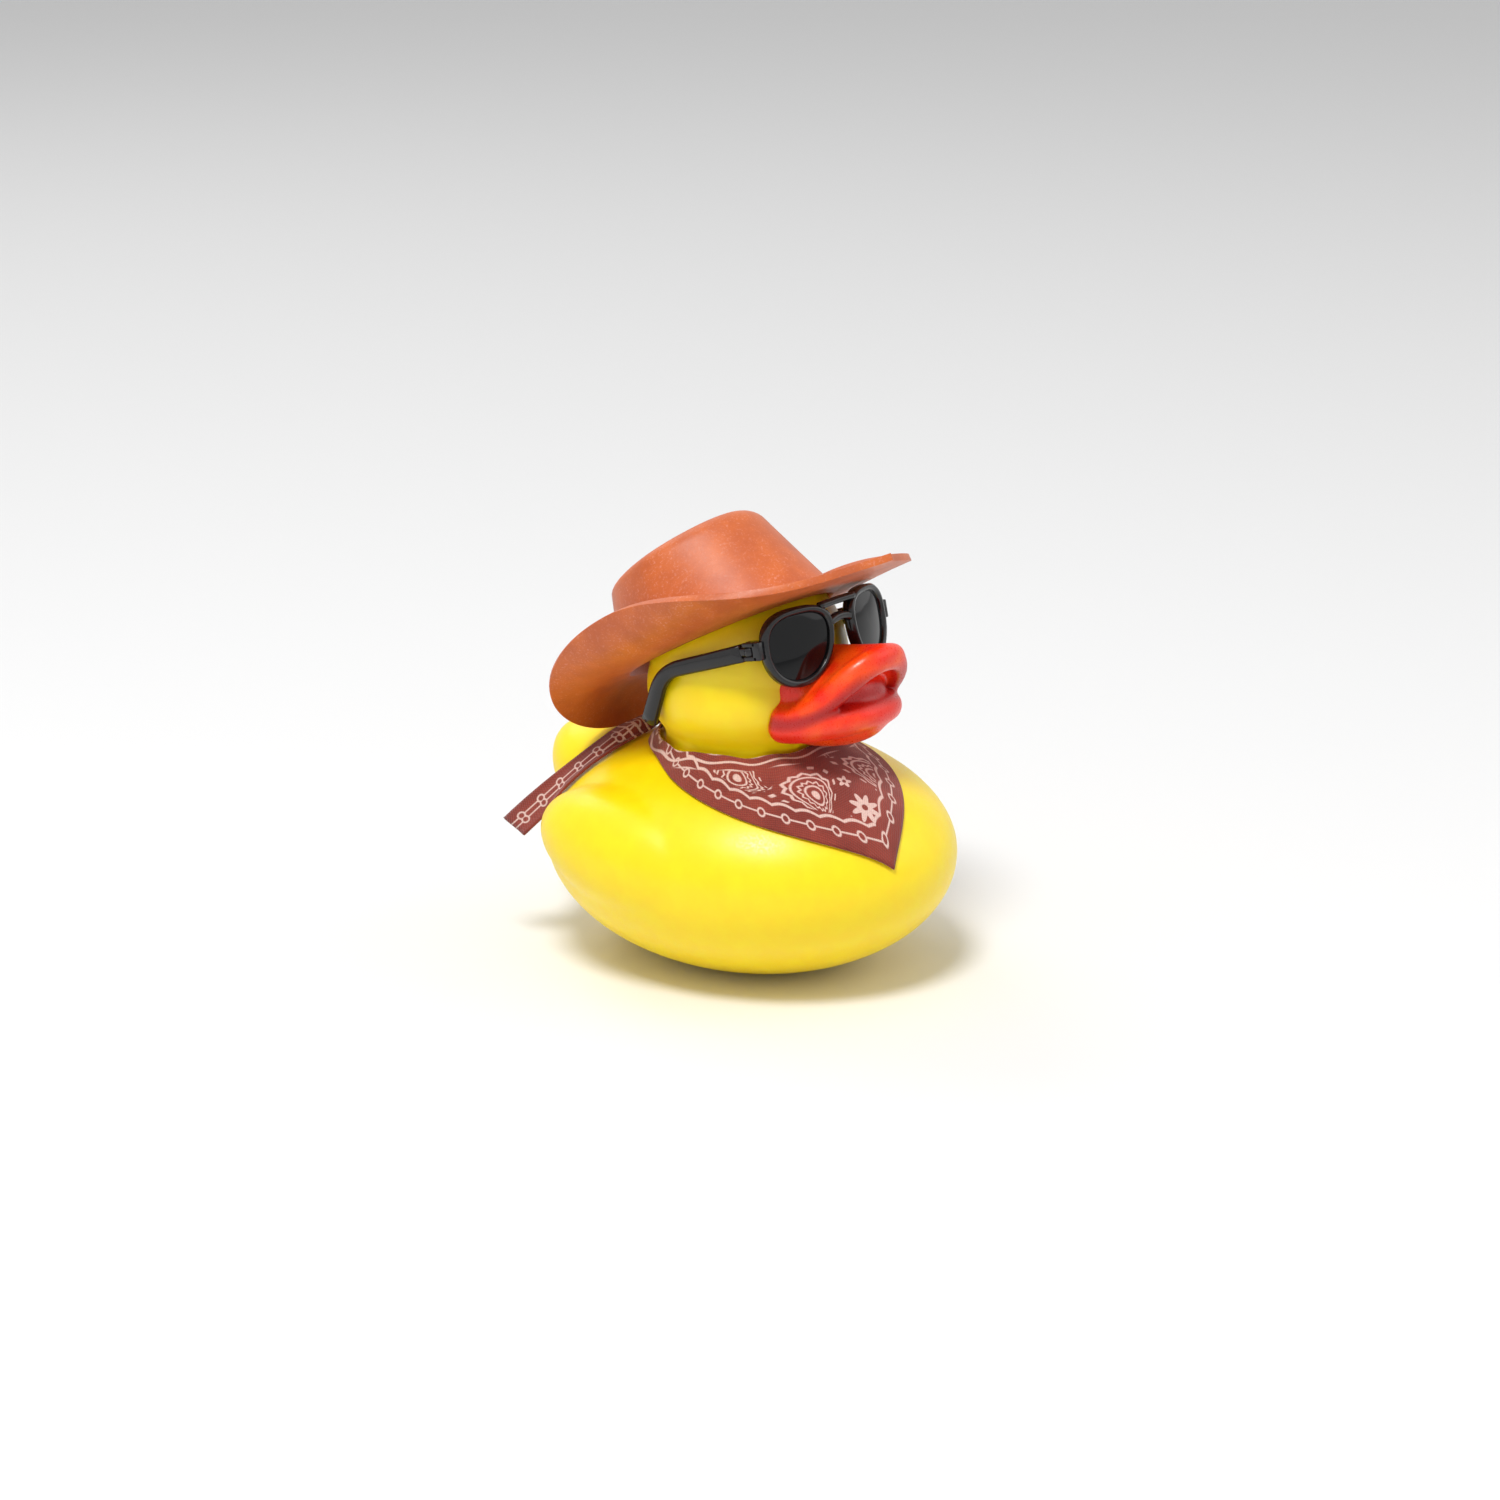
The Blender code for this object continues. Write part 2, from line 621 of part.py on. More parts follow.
def moved(item, matrix):
    """Applies a matrix to an object's mesh."""
    item.data.transform(matrix)
    item.data.update()
    return item


def hinge_point(side):
    """The hinge axis at mid height, in the sunglasses' frame."""
    return Vector((side * HINGE_SIDE, GLASSES_REACH - HINGE_REACH, HINGE_RISE))


def glasses_frame():
    """The front: two rims, brow bar, nose bridge and the forked hinge lugs."""
    half_depth = RIM_DEPTH / 2
    lug_front = RIM_OUTER_WIDTH / 2 * math.sin(GLASSES_WRAP)
    frame = None
    for side in (-1, 1):
        rim = outline_plate("rim", aviator_outline(side, 0.0), -half_depth, half_depth)
        rim = moved(rim, lens_matrix(side))
        middle = hinge_point(side)
        root = LENS_SPACING / 2 + RIM_OUTER_WIDTH / 2 * math.cos(GLASSES_WRAP) - RIM_BAR
        ends = sorted((side * root, middle.x + side * LUG_WIDTH / 2))
        lug_low = (ends[0], lug_front, middle.z - LUG_HEIGHT / 2)
        lug_high = (ends[1], middle.y + TONGUE_RADIUS, middle.z + LUG_HEIGHT / 2)
        rim = boolean(rim, box("lug", lug_low, lug_high), "UNION")
        frame = rim if frame is None else boolean(frame, rim, "UNION")
    inner = LENS_SPACING / 2 - RIM_OUTER_WIDTH / 2
    reach = inner + RIM_BAR
    brow_rise = RIM_OUTER_HEIGHT / 2 - BROW_BAR_RADIUS
    brow_end = (reach + 2 * RIM_BAR, brow_rise - BROW_BAR_DROP)
    bar_depth = (RIM_BAR - RIM_OUTER_WIDTH / 2) * math.sin(GLASSES_WRAP)
    brow = tube("brow", [(-brow_end[0], bar_depth, brow_end[1]), (-inner, bar_depth, brow_rise),
                         (inner, bar_depth, brow_rise), (brow_end[0], bar_depth, brow_end[1])],
                BROW_BAR_RADIUS)
    frame = boolean(frame, brow, "UNION")
    nose_end = NOSE_BAR_RISE - NOSE_BAR_DROP
    nose_reach = reach + RIM_BAR / 2
    nose = tube("nose", [(-nose_reach, bar_depth, nose_end), (-inner / 2, bar_depth, NOSE_BAR_RISE),
                         (inner / 2, bar_depth, NOSE_BAR_RISE), (nose_reach, bar_depth, nose_end)],
                NOSE_BAR_RADIUS)
    frame = boolean(frame, nose, "UNION")
    for side in (-1, 1):
        sight = outline_plate("sight", aviator_outline(side, RIM_BAR), -RIM_DEPTH, RIM_DEPTH)
        frame = boolean(frame, moved(sight, lens_matrix(side)), "DIFFERENCE")
        seat = aviator_outline(side, RIM_BAR - RIM_LIP)
        pocket = outline_plate("pocket", seat, RIM_LIP - half_depth, RIM_DEPTH)
        frame = boolean(frame, moved(pocket, lens_matrix(side)), "DIFFERENCE")
        middle = hinge_point(side)
        slot_low = middle - Vector((LUG_WIDTH, TONGUE_RADIUS + FIT_GAP, HINGE_SLOT / 2))
        slot_high = middle + Vector((LUG_WIDTH, RIM_OUTER_WIDTH, HINGE_SLOT / 2))
        frame = boolean(frame, box("slot", slot_low, slot_high), "DIFFERENCE")
        pin = cylinder("pin", HINGE_PIN_RADIUS, middle.z - HINGE_SLOT, middle.z + HINGE_SLOT,
                       (middle.x, middle.y), PIN_STEPS)
        frame = boolean(frame, pin, "UNION")
    frame.name = "glasses_frame"
    frame.matrix_world = glasses_matrix()
    return frame


def lens(side, name):
    """A lens seated in its rim's pocket."""
    front = RIM_LIP - RIM_DEPTH / 2 + FIT_GAP
    edge = aviator_outline(side, RIM_BAR - RIM_LIP + FIT_GAP)
    glass = outline_plate(name, edge, front, front + LENS_THICKNESS)
    glass.matrix_world = glasses_matrix() @ lens_matrix(side)
    return glass


def temple_path(side):
    """The middle line of a temple from its hinge, sloping back and hooking down."""
    slope = TEMPLE_SLOPE - GLASSES_TILT
    back = Vector((0, math.cos(slope), -math.sin(slope)))
    start = TONGUE_RADIUS + 2 * FIT_GAP
    bend_start = TEMPLE_LENGTH - TEMPLE_HOOK_BEND
    straight = [start + (bend_start - start) * step / SPLAY_STEPS for step in range(SPLAY_STEPS + 1)]
    points = [back * reach for reach in straight]
    bend = points[-1]
    corner = back * TEMPLE_LENGTH
    end = corner + Vector((-side * TEMPLE_HOOK_IN, TEMPLE_HOOK_BACK, -TEMPLE_HOOK_DROP))
    leave = corner + (end - corner).normalized() * TEMPLE_HOOK_BEND
    for step in range(1, HOOK_BENDS):
        share = step / HOOK_BENDS
        before = bend.lerp(corner, share)
        after = corner.lerp(leave, share)
        points.append(before.lerp(after, share))
    points += [leave, end]
    for point in points:
        point.x += side * TEMPLE_SPLAY * smooth_share(point.y, start, TEMPLE_SPLAY_LENGTH)
    return points


def temple(side, name):
    """A temple arm with its hinge tongue; its origin is on the hinge axis."""
    flatten = TEMPLE_THICKNESS / TEMPLE_HEIGHT
    stretched = [Vector((point.x / flatten, point.y, point.z)) for point in temple_path(side)]
    arm = moved(tube(name, stretched, TEMPLE_HEIGHT / 2, 3), Matrix.Diagonal((flatten, 1, 1, 1)))
    half_tongue = HINGE_SLOT / 2 - FIT_GAP
    tongue = cylinder("tongue", TONGUE_RADIUS, -half_tongue, half_tongue)
    neck_reach = TONGUE_RADIUS + 2 * FIT_GAP + TEMPLE_THICKNESS
    half_neck = TEMPLE_THICKNESS / 2 - TONGUE_NECK_INSET
    neck_height = half_tongue - TONGUE_NECK_INSET / 2
    neck = box("neck", (-half_neck, 0, -neck_height), (half_neck, neck_reach, neck_height))
    tongue = boolean(tongue, neck, "UNION")
    arm = boolean(arm, tongue, "UNION")
    hole_radius = HINGE_PIN_RADIUS + HINGE_PIN_EASE
    hole = cylinder("pin_hole", hole_radius, -HINGE_SLOT, HINGE_SLOT, segments=PIN_STEPS)
    arm = boolean(arm, hole, "DIFFERENCE")
    arm.name = name
    arm.matrix_world = glasses_matrix() @ Matrix.Translation(hinge_point(side))
    return arm


def smooth_share(value, low, high):
    """Rises smoothly from 0 to 1 between two values."""
    share = min(1.0, max(0.0, (value - low) / (high - low)))
    return share * share * (3 - 2 * share)


def hem_reach(turn):
    """Distance of the bandana's hem from the neck's axis at an angle from its tip."""
    span, fall = (RIGHT_HEM_SPAN, RIGHT_HEM_FALL) if turn < 0 else (LEFT_HEM_SPAN, LEFT_HEM_FALL)
    return BAND_REACH + (TIP_REACH - BAND_REACH) * max(0.0, 1 - abs(turn) / span) ** fall


def body_height(across, along):
    """Height of the body's top over a point of the ground plane."""
    reach = (across / BODY_HALF_WIDTH) ** 2 + (along / BODY_HALF_LENGTH) ** 2
    return BODY_WAIST + BODY_ABOVE * math.sqrt(max(0.0, 1 - reach))


def bandana_drape(form):
    """The collar and the front triangle, laid over the body."""
    shape = bmesh.new()
    grid = []
    for column in range(RING_STEPS):
        round_share = 2 * column / RING_STEPS - 1
        turn = math.copysign(math.pi * abs(round_share) ** TIP_CROWDING, round_share)
        heading = turn + TIP_TURN
        hem = hem_reach(turn)
        line = []
        for row in range(CLOTH_ROWS):
            share = row / (CLOTH_ROWS - 1)
            reach = COLLAR_RADIUS + (hem - COLLAR_RADIUS) * share
            across = reach * math.sin(heading)
            along = -reach * math.cos(heading)
            height = body_height(across, along) + CLOTH_GAP + COLLAR_LIFT * (1 - share) ** 2
            line.append(shape.verts.new((across, along, height)))
        grid.append(line)
    for first, second in zip(grid, grid[1:] + grid[:1]):
        for row in range(CLOTH_ROWS - 1):
            shape.faces.new((first[row], first[row + 1], second[row + 1], second[row]))
    sheet = object_from_bmesh("bandana", shape)
    wrap = sheet.modifiers.new("Shrinkwrap", "SHRINKWRAP")
    wrap.target = form
    wrap.wrap_method = "NEAREST_SURFACEPOINT"
    wrap.wrap_mode = "OUTSIDE"
    wrap.offset = CLOTH_GAP
    shell = sheet.modifiers.new("Solidify", "SOLIDIFY")
    shell.thickness = CLOTH_THICKNESS
    shell.offset = 1.0
    bpy.context.view_layer.update()
    return bake(sheet)


def ribbon(name, points, facing, width, form):
    """A flat strip of cloth along points, with its face turned to a direction."""
    shape = bmesh.new()
    pairs = []
    for index, point in enumerate(points):
        ahead = points[min(index + 1, len(points) - 1)]
        behind = points[max(index - 1, 0)]
        sideways = (ahead - behind).cross(facing).normalized() * width / 2
        pairs.append([shape.verts.new(point + step * sideways) for step in (-1, 0, 1)])
    for first, second in zip(pairs, pairs[1:]):
        for low in (0, 1):
            shape.faces.new((first[low], first[low + 1], second[low + 1], second[low]))
    strip = object_from_bmesh(name, shape)
    wrap = strip.modifiers.new("Shrinkwrap", "SHRINKWRAP")
    wrap.target = form
    wrap.wrap_method = "NEAREST_SURFACEPOINT"
    wrap.wrap_mode = "OUTSIDE"
    wrap.offset = CLOTH_GAP + CLOTH_THICKNESS
    shell = strip.modifiers.new("Solidify", "SOLIDIFY")
    shell.thickness = CLOTH_THICKNESS
    shell.offset = 0.0
    bpy.context.view_layer.update()
    return bake(strip)


def tail_points(start, spread, back, drop, side):
    """A bandana tail's middle line, arching out of the knot and hanging off the body."""
    end = start + Vector((side * spread, back, -drop))
    lift = start + Vector((side * spread * TAIL_ARCH_OUT, back * TAIL_ARCH_BACK, -drop * TAIL_ARCH_DROP))
    points = []
    for step in range(CLOTH_TAIL_STEPS + 1):
        share = step / CLOTH_TAIL_STEPS
        point = start.lerp(lift, share).lerp(lift.lerp(end, share), share)
        point.z = max(point.z, body_height(point.x, point.y) + CLOTH_GAP + CLOTH_THICKNESS)
        points.append(point)
    return points


def bandana(form):
    """The tied cloth: drape, knot and two tails as one closed solid."""
    cloth = bandana_drape(form)
    knot_height = body_height(0, KNOT_BACK) + KNOT_HEIGHT / 2 + KNOT_LIFT
    knot_centre = Vector((0, KNOT_BACK, knot_height))
    shape = bmesh.new()
    add_ball(shape, knot_centre, (KNOT_LENGTH / 2, KNOT_DEPTH / 2, KNOT_HEIGHT / 2))
    knot = object_from_bmesh("knot", shape)
    cloth = boolean(cloth, knot, "UNION")
    reaches = (
        (-1, NEAR_TAIL_SPREAD, NEAR_TAIL_BACK, NEAR_TAIL_DROP),
        (1, FAR_TAIL_SPREAD, FAR_TAIL_BACK, FAR_TAIL_DROP),
    )
    for side, spread, back, drop in reaches:
        start = knot_centre + Vector((side * KNOT_TAIL_SIDE, 0, 0))
        facing = Vector((side * TAIL_FACING[0], TAIL_FACING[1], TAIL_FACING[2]))
        path = tail_points(start, spread, back, drop, side)
        strip = ribbon("tail", path, facing, TAIL_CLOTH_WIDTH, form)
        cloth = boolean(cloth, strip, "UNION")
    cloth.name = "bandana"
    return cloth


def main():
    """Builds every piece and gives it its material."""
    clear_scene()
    duck, form = duck_body()
    pieces = [
        (duck, material("yellow_vinyl", (1.0, 0.70, 0.0), 0.45)),
        (whistle(), material("white_plastic", (0.8, 0.8, 0.78), 0.4)),
        (cowboy_hat(), material("brown_soft_plastic", (0.52, 0.14, 0.06), 0.5)),
        (glasses_frame(), material("black_plastic", (0.01, 0.01, 0.012), 0.15)),
        (lens(-1, "lens_right"), material("smoked_lens_right", (0.006, 0.01, 0.012), 0.05)),
        (lens(1, "lens_left"), material("smoked_lens_left", (0.006, 0.01, 0.012), 0.05)),
        (temple(-1, "temple_right"), material("black_plastic_right", (0.01, 0.01, 0.012), 0.15)),
        (temple(1, "temple_left"), material("black_plastic_left", (0.01, 0.01, 0.012), 0.15)),
        (bandana(form), material("printed_cotton", (0.45, 0.1, 0.06), 0.85)),
    ]
    bpy.data.objects.remove(form, do_unlink=True)
    root = bpy.data.objects.new("duck_root", None)
    root.location.y = -BODY_FORWARD
    parts.objects.link(root)
    for item, look in pieces:
        item.data.materials.clear()
        item.data.materials.append(look)
        item.parent = root


main()
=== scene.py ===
"""Looks of the rubber duck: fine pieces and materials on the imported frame."""
import math

import bmesh
import bpy
from mathutils import Matrix, Vector


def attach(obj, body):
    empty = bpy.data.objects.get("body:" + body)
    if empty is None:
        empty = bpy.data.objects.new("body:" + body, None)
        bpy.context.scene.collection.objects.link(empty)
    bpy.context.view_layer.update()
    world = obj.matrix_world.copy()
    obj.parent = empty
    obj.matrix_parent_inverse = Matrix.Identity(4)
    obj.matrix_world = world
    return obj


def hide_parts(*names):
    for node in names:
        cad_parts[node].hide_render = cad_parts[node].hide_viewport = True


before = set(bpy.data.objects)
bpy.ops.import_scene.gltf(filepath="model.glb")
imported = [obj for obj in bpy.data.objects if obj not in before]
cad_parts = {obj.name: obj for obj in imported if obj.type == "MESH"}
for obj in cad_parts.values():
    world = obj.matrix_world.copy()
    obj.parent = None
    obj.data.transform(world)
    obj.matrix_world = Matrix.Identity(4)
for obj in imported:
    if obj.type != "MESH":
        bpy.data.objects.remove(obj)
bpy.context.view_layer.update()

MM = 0.001
BODY = "duck"

# Sizes that the solids share
FIT_GAP = 0.3 * MM
CLOTH_GAP = 0.3 * MM
HAT_EASE = 0.5 * MM
BODY_LENGTH = 67.6 * MM
BODY_WIDTH = 57.0 * MM
BODY_TOP = 35.8 * MM
BODY_WAIST = 18.5 * MM
BODY_FORWARD = 2.1 * MM
BASE_FLAT_DEPTH = 1.0 * MM
TAIL_LENGTH = 5.6 * MM
TAIL_MIDDLE = 22.2 * MM
TAIL_WIDTH = 18.5 * MM
TAIL_HEIGHT = 16.3 * MM
TAIL_ROOT_DEPTH = 8.5 * MM
TAIL_PITCH = math.radians(32.0)
WING_LENGTH = 38.0 * MM
WING_HEIGHT = 19.0 * MM
WING_RAISE = 1.2 * MM
WING_THICKNESS = 18.2 * MM
WING_MIDDLE = 20.0 * MM
WING_BACK = 4.6 * MM
WING_TILT = math.radians(8.0)
HEAD_RADIUS = 15.2 * MM
HEAD_HEIGHT = 47.6 * MM
CHEEK_RADIUS = 15.8 * MM
CHEEK_DROP = 4.0 * MM
CHEEK_HEIGHT = 24.0 * MM
NECK_RADIUS = 12.9 * MM
NECK_HEIGHT = 18.2 * MM
BILL_RIM_RADIUS = 1.7 * MM
BILL_LIP_RADIUS = 2.4 * MM
BILL_CORNER_SIDE = 9.5 * MM
BILL_CORNER_BACK = 13.2 * MM
BILL_CORNER_HEIGHT = 42.3 * MM
BILL_TIP_REACH = 25.0 * MM
BILL_TIP_HEIGHT = 51.2 * MM
BILL_ROOT_HEIGHT = 50.4 * MM
BILL_CREST_HEIGHT = 52.2 * MM
LIP_CORNER_SIDE = 8.8 * MM
LIP_CORNER_HEIGHT = 40.7 * MM
LIP_REACH = 23.3 * MM
LIP_HEIGHT = 43.0 * MM
BILL_CORE_SIDE = 9.0 * MM
BILL_CORE_REACH = 23.8 * MM
BILL_CORE_HEIGHT = 10.4 * MM
BOWL_SIDE = 9.0 * MM
BOWL_REACH = 24.8 * MM
BOWL_HEIGHT = 10.6 * MM
BILL_FULLNESS = 0.8
RIM_UPTURN = 1.7
LIP_UPTURN = 1.0
HAT_PITCH = math.radians(29.0)
HAT_ROLL = math.radians(2.5)
HAT_SEAT = 5.4 * MM
HAT_SETBACK = 2.1 * MM
HAT_WALL = 1.1 * MM
HAT_OPENING_LENGTH = 35.4 * MM
CROWN_HEIGHT = 15.9 * MM
CROWN_TAPER = 2.6 * MM
CROWN_FRONT_LEAN = 5.9 * MM
CROWN_REAR_LEAN = 0.5 * MM
CROWN_REAR_DROP = 3.9 * MM
CROWN_PINCH = 0.24
CROWN_SHOULDER = 1.7 * MM
CROWN_CREASE = 1.5 * MM
BRIM_FRONT = 16.0 * MM
BRIM_REAR = 12.4 * MM
BRIM_SIDE = 11.0 * MM
BRIM_FRONT_TAPER = 0.5
BRIM_FRONT_SPREAD = 4.6
BRIM_REAR_SPREAD = 2.0
BRIM_SIDE_START = math.radians(2.0)
BRIM_RIGHT_ROLL = math.radians(78.0)
BRIM_LEFT_ROLL = math.radians(46.0)
BRIM_FRONT_DIP = math.radians(2.0)
BRIM_REAR_DIP = math.radians(62.0)
GLASSES_TILT = math.radians(12.0)
GLASSES_REACH = 15.8 * MM
GLASSES_HEIGHT = 53.7 * MM
GLASSES_WRAP = math.radians(16.0)
LENS_SPACING = 16.2 * MM
RIM_OUTER_WIDTH = 14.2 * MM
RIM_OUTER_HEIGHT = 11.8 * MM
RIM_BAR = 1.05 * MM
RIM_DEPTH = 1.8 * MM
RIM_TOP_SQUARENESS = 0.74
RIM_BOTTOM_SQUARENESS = 0.95
RIM_NARROWING = 0.2
RIM_LEAN = 0.14
LENS_BULGE = 0.5 * MM
LENS_SEAT = 0.3 * MM
LENS_THICKNESS = 0.7 * MM
BROW_BAR_RADIUS = 0.6 * MM
BROW_BAR_DROP = 0.1 * MM
NOSE_BAR_RADIUS = 0.7 * MM
NOSE_BAR_RISE = 3.1 * MM
NOSE_BAR_DROP = 0.8 * MM
HINGE_SIDE = 15.3 * MM
HINGE_REACH = 12.0 * MM
HINGE_RISE = 0.9 * MM
LUG_WIDTH = 1.4 * MM
LUG_HEIGHT = 2.8 * MM
HINGE_SLOT = 1.3 * MM
TONGUE_RADIUS = 0.85 * MM
TEMPLE_HEIGHT = 2.7 * MM
TEMPLE_THICKNESS = 1.3 * MM
TEMPLE_SLOPE = math.radians(19.6)
TEMPLE_LENGTH = 17.0 * MM
TEMPLE_HOOK_DROP = 8.0 * MM
TEMPLE_HOOK_BACK = 5.2 * MM
TEMPLE_HOOK_IN = 0.9 * MM
TEMPLE_HOOK_BEND = 3.6 * MM
TEMPLE_SPLAY = 0.8 * MM
TEMPLE_SPLAY_LENGTH = 7.0 * MM
CLOTH_THICKNESS = 0.35 * MM
COLLAR_RADIUS = 13.8 * MM
COLLAR_LIFT = 1.2 * MM
TIP_TURN = math.radians(-12.0)
TIP_REACH = 33.0 * MM
BAND_REACH = 15.4 * MM
RIGHT_HEM_SPAN = math.radians(108.0)
RIGHT_HEM_FALL = 1.4
LEFT_HEM_SPAN = math.radians(60.0)
LEFT_HEM_FALL = 1.15
KNOT_LENGTH = 5.2 * MM
KNOT_HEIGHT = 3.8 * MM
KNOT_DEPTH = 3.4 * MM
KNOT_BACK = 17.4 * MM
KNOT_LIFT = 0.5 * MM
KNOT_TAIL_SIDE = 1.6 * MM
TAIL_CLOTH_WIDTH = 5.0 * MM
CLOTH_TAILS = ((-1, 18.5 * MM, 13.5 * MM, 16.5 * MM), (1, 15.0 * MM, 11.0 * MM, 13.0 * MM))
TAIL_ARCH_OUT = 0.84
TAIL_ARCH_BACK = 0.11
TAIL_ARCH_DROP = 0.24
TAIL_FACING = (0.75, -0.1, 0.65)

# Fineness
BODY_VOXEL = 0.5 * MM
BODY_SMOOTHING = 20
BILL_VOXEL = 0.24 * MM
BILL_SMOOTHING = 60
BILL_STEPS = 30
# Spread of the mouth line's painted shade above and below its middle
MOUTH_SHADE_SPREAD = 1.4 * MM
HAT_STEPS = 144
CREASE_ROWS = 12
WALL_ROWS = 22
BRIM_ROWS = 26
BRIM_STRIDES = 24
LENS_RINGS = 10
TAIL_STEPS = 40
RIM_ROUNDING = 0.28 * MM
BLOCK_BEVEL = 0.22 * MM
TEMPLE_CHAMFER = 0.3 * MM
HAT_EDGE_ROUNDING = 0.35 * MM
TONGUE_EASE = 0.06 * MM
FOLD_DEPTH = 0.42 * MM
TAIL_CUP = 0.5 * MM
CLOTH_COLUMNS = 300
CLOTH_ROWS = 48

# Prints are drawn in centimetres of cloth
CLOTH_UNIT = 10 * MM
CLOTH_FALL = 1.08
HEM_SLOPE_STEP = 0.01

BODY_HALF_LENGTH = BODY_LENGTH / 2
BODY_HALF_WIDTH = BODY_WIDTH / 2
BODY_BELOW = BODY_WAIST + BASE_FLAT_DEPTH
BODY_ABOVE = BODY_TOP - BODY_WAIST
HEAD_CENTRE = Vector((0, 0, HEAD_HEIGHT))
SEAT_RADIUS = math.sqrt(HEAD_RADIUS ** 2 - HAT_SEAT ** 2)
OPENING_HALF_WIDTH = SEAT_RADIUS + HAT_EASE
OPENING_HALF_LENGTH = HAT_OPENING_LENGTH / 2
SHIFT = Matrix.Translation((0, -BODY_FORWARD, 0))

scene = bpy.context.scene


def srgb(red, green, blue):
    """A colour from screen values 0 to 255, as linear values."""
    values = []
    for value in (red, green, blue):
        value /= 255
        values.append(value / 12.92 if value <= 0.04045 else ((value + 0.055) / 1.055) ** 2.4)
    return (*values, 1.0)


class Nodes:
    """A material's node tree with short calls for the nodes that are used."""

    def __init__(self, name):
        self.made = bpy.data.materials.new(name)
        self.made.use_nodes = True
        self.tree = self.made.node_tree
        self.shader = self.tree.nodes["Principled BSDF"]

    def put(self, socket, value):
        """Links a socket or sets a plain value."""
        if isinstance(value, bpy.types.NodeSocket):
            self.tree.links.new(value, socket)
        else:
            socket.default_value = value

    def math(self, operation, first, second=0.0, third=0.0):
        """One math node."""
        node = self.tree.nodes.new("ShaderNodeMath")
        node.operation = operation
        for socket, value in zip(node.inputs, (first, second, third)):
            self.put(socket, value)
        return node.outputs[0]

    def times(self, first, second):
        """The product of two values."""
        return self.math("MULTIPLY", first, second)

    def most(self, first, second):
        """The greater of two values."""
        return self.math("MAXIMUM", first, second)

    def noise(self, scale, detail=3.0, roughness=0.5, distortion=0.0):
        """Noise over the object's own coordinates, in metres."""
        node = self.tree.nodes.new("ShaderNodeTexNoise")
        node.inputs["Scale"].default_value = scale
        node.inputs["Detail"].default_value = detail
        node.inputs["Roughness"].default_value = roughness
        node.inputs["Distortion"].default_value = distortion
        self.tree.links.new(self.place(), node.inputs["Vector"])
        return node.outputs["Fac"]

    def place(self):
        """The object's own coordinates."""
        return self.tree.nodes.new("ShaderNodeTexCoord").outputs["Object"]

    def split(self, vector):
        """The three parts of a vector."""
        node = self.tree.nodes.new("ShaderNodeSeparateXYZ")
        self.put(node.inputs[0], vector)
        return node.outputs

    def uv(self, name):
        """A UV map's two parts."""
        node = self.tree.nodes.new("ShaderNodeUVMap")
        node.uv_map = name
        parts = self.split(node.outputs[0])
        return parts[0], parts[1]

    def ramp(self, value, low, high, start=0.0, end=1.0):
        """Moves a value smoothly from one range to another, with clamping."""
        node = self.tree.nodes.new("ShaderNodeMapRange")
        node.interpolation_type = "SMOOTHSTEP"
        for socket, part in zip(node.inputs, (value, low, high, start, end)):
            self.put(socket, part)
        return node.outputs[0]

    def mix(self, share, first, second):
        """Mixes two colours."""
        node = self.tree.nodes.new("ShaderNodeMix")
        node.data_type = "RGBA"
        self.put(node.inputs[0], share)
        self.put(node.inputs[6], first)
        self.put(node.inputs[7], second)
        return node.outputs[2]

    def bump(self, height, strength, distance, below=None):
        """A bump from a height."""
        node = self.tree.nodes.new("ShaderNodeBump")
        node.inputs["Strength"].default_value = strength
        node.inputs["Distance"].default_value = distance
        self.put(node.inputs["Height"], height)
        if below is not None:
            self.put(node.inputs["Normal"], below)
        return node.outputs[0]

    def set(self, **inputs):
        """Sets or links the shader's inputs, with underscores for spaces."""
        for name, value in inputs.items():
            self.put(self.shader.inputs[name.replace("_", " ")], value)


def vinyl_material():
    """Satin soft vinyl, slightly translucent, with a faint mottled skin."""
    look = Nodes("yellow_vinyl")
    mottle = look.noise(260, 4)
    fine = look.noise(2600, 2)
    colour = look.mix(look.ramp(mottle, 0.3, 0.75), srgb(255, 220, 0), srgb(255, 226, 4))
    look.set(Base_Color=colour, Roughness=look.ramp(fine, 0.3, 0.7, 0.3, 0.42),
             Subsurface_Weight=0.12, Subsurface_Radius=(1.0, 0.5, 0.1), Subsurface_Scale=0.0015,
             Normal=look.bump(fine, 0.06, 0.0001))
    return look.made


def bill_material():
    """Painted vinyl: orange-red, with painted shade as a deeper red along the mouth line."""
    look = Nodes("painted_bill")
    mottle = look.noise(170, 4)
    fine = look.noise(3000, 2)
    pale = look.mix(look.ramp(mottle, 0.4, 0.72), srgb(238, 36, 8), srgb(250, 84, 12))
    # Painted shade: the mouth line's mask turns the orange-red to a deep red there.
    attribute = look.tree.nodes.new("ShaderNodeAttribute")
    attribute.attribute_name = "mouth_shade"
    colour = look.mix(attribute.outputs["Fac"], pale, srgb(180, 8, 4))
    look.set(Base_Color=colour, Roughness=look.ramp(fine, 0.3, 0.7, 0.26, 0.38),
             Subsurface_Weight=0.08, Subsurface_Radius=(1.0, 0.3, 0.1), Subsurface_Scale=0.0012,
             Normal=look.bump(fine, 0.06, 0.0001))
    return look.made


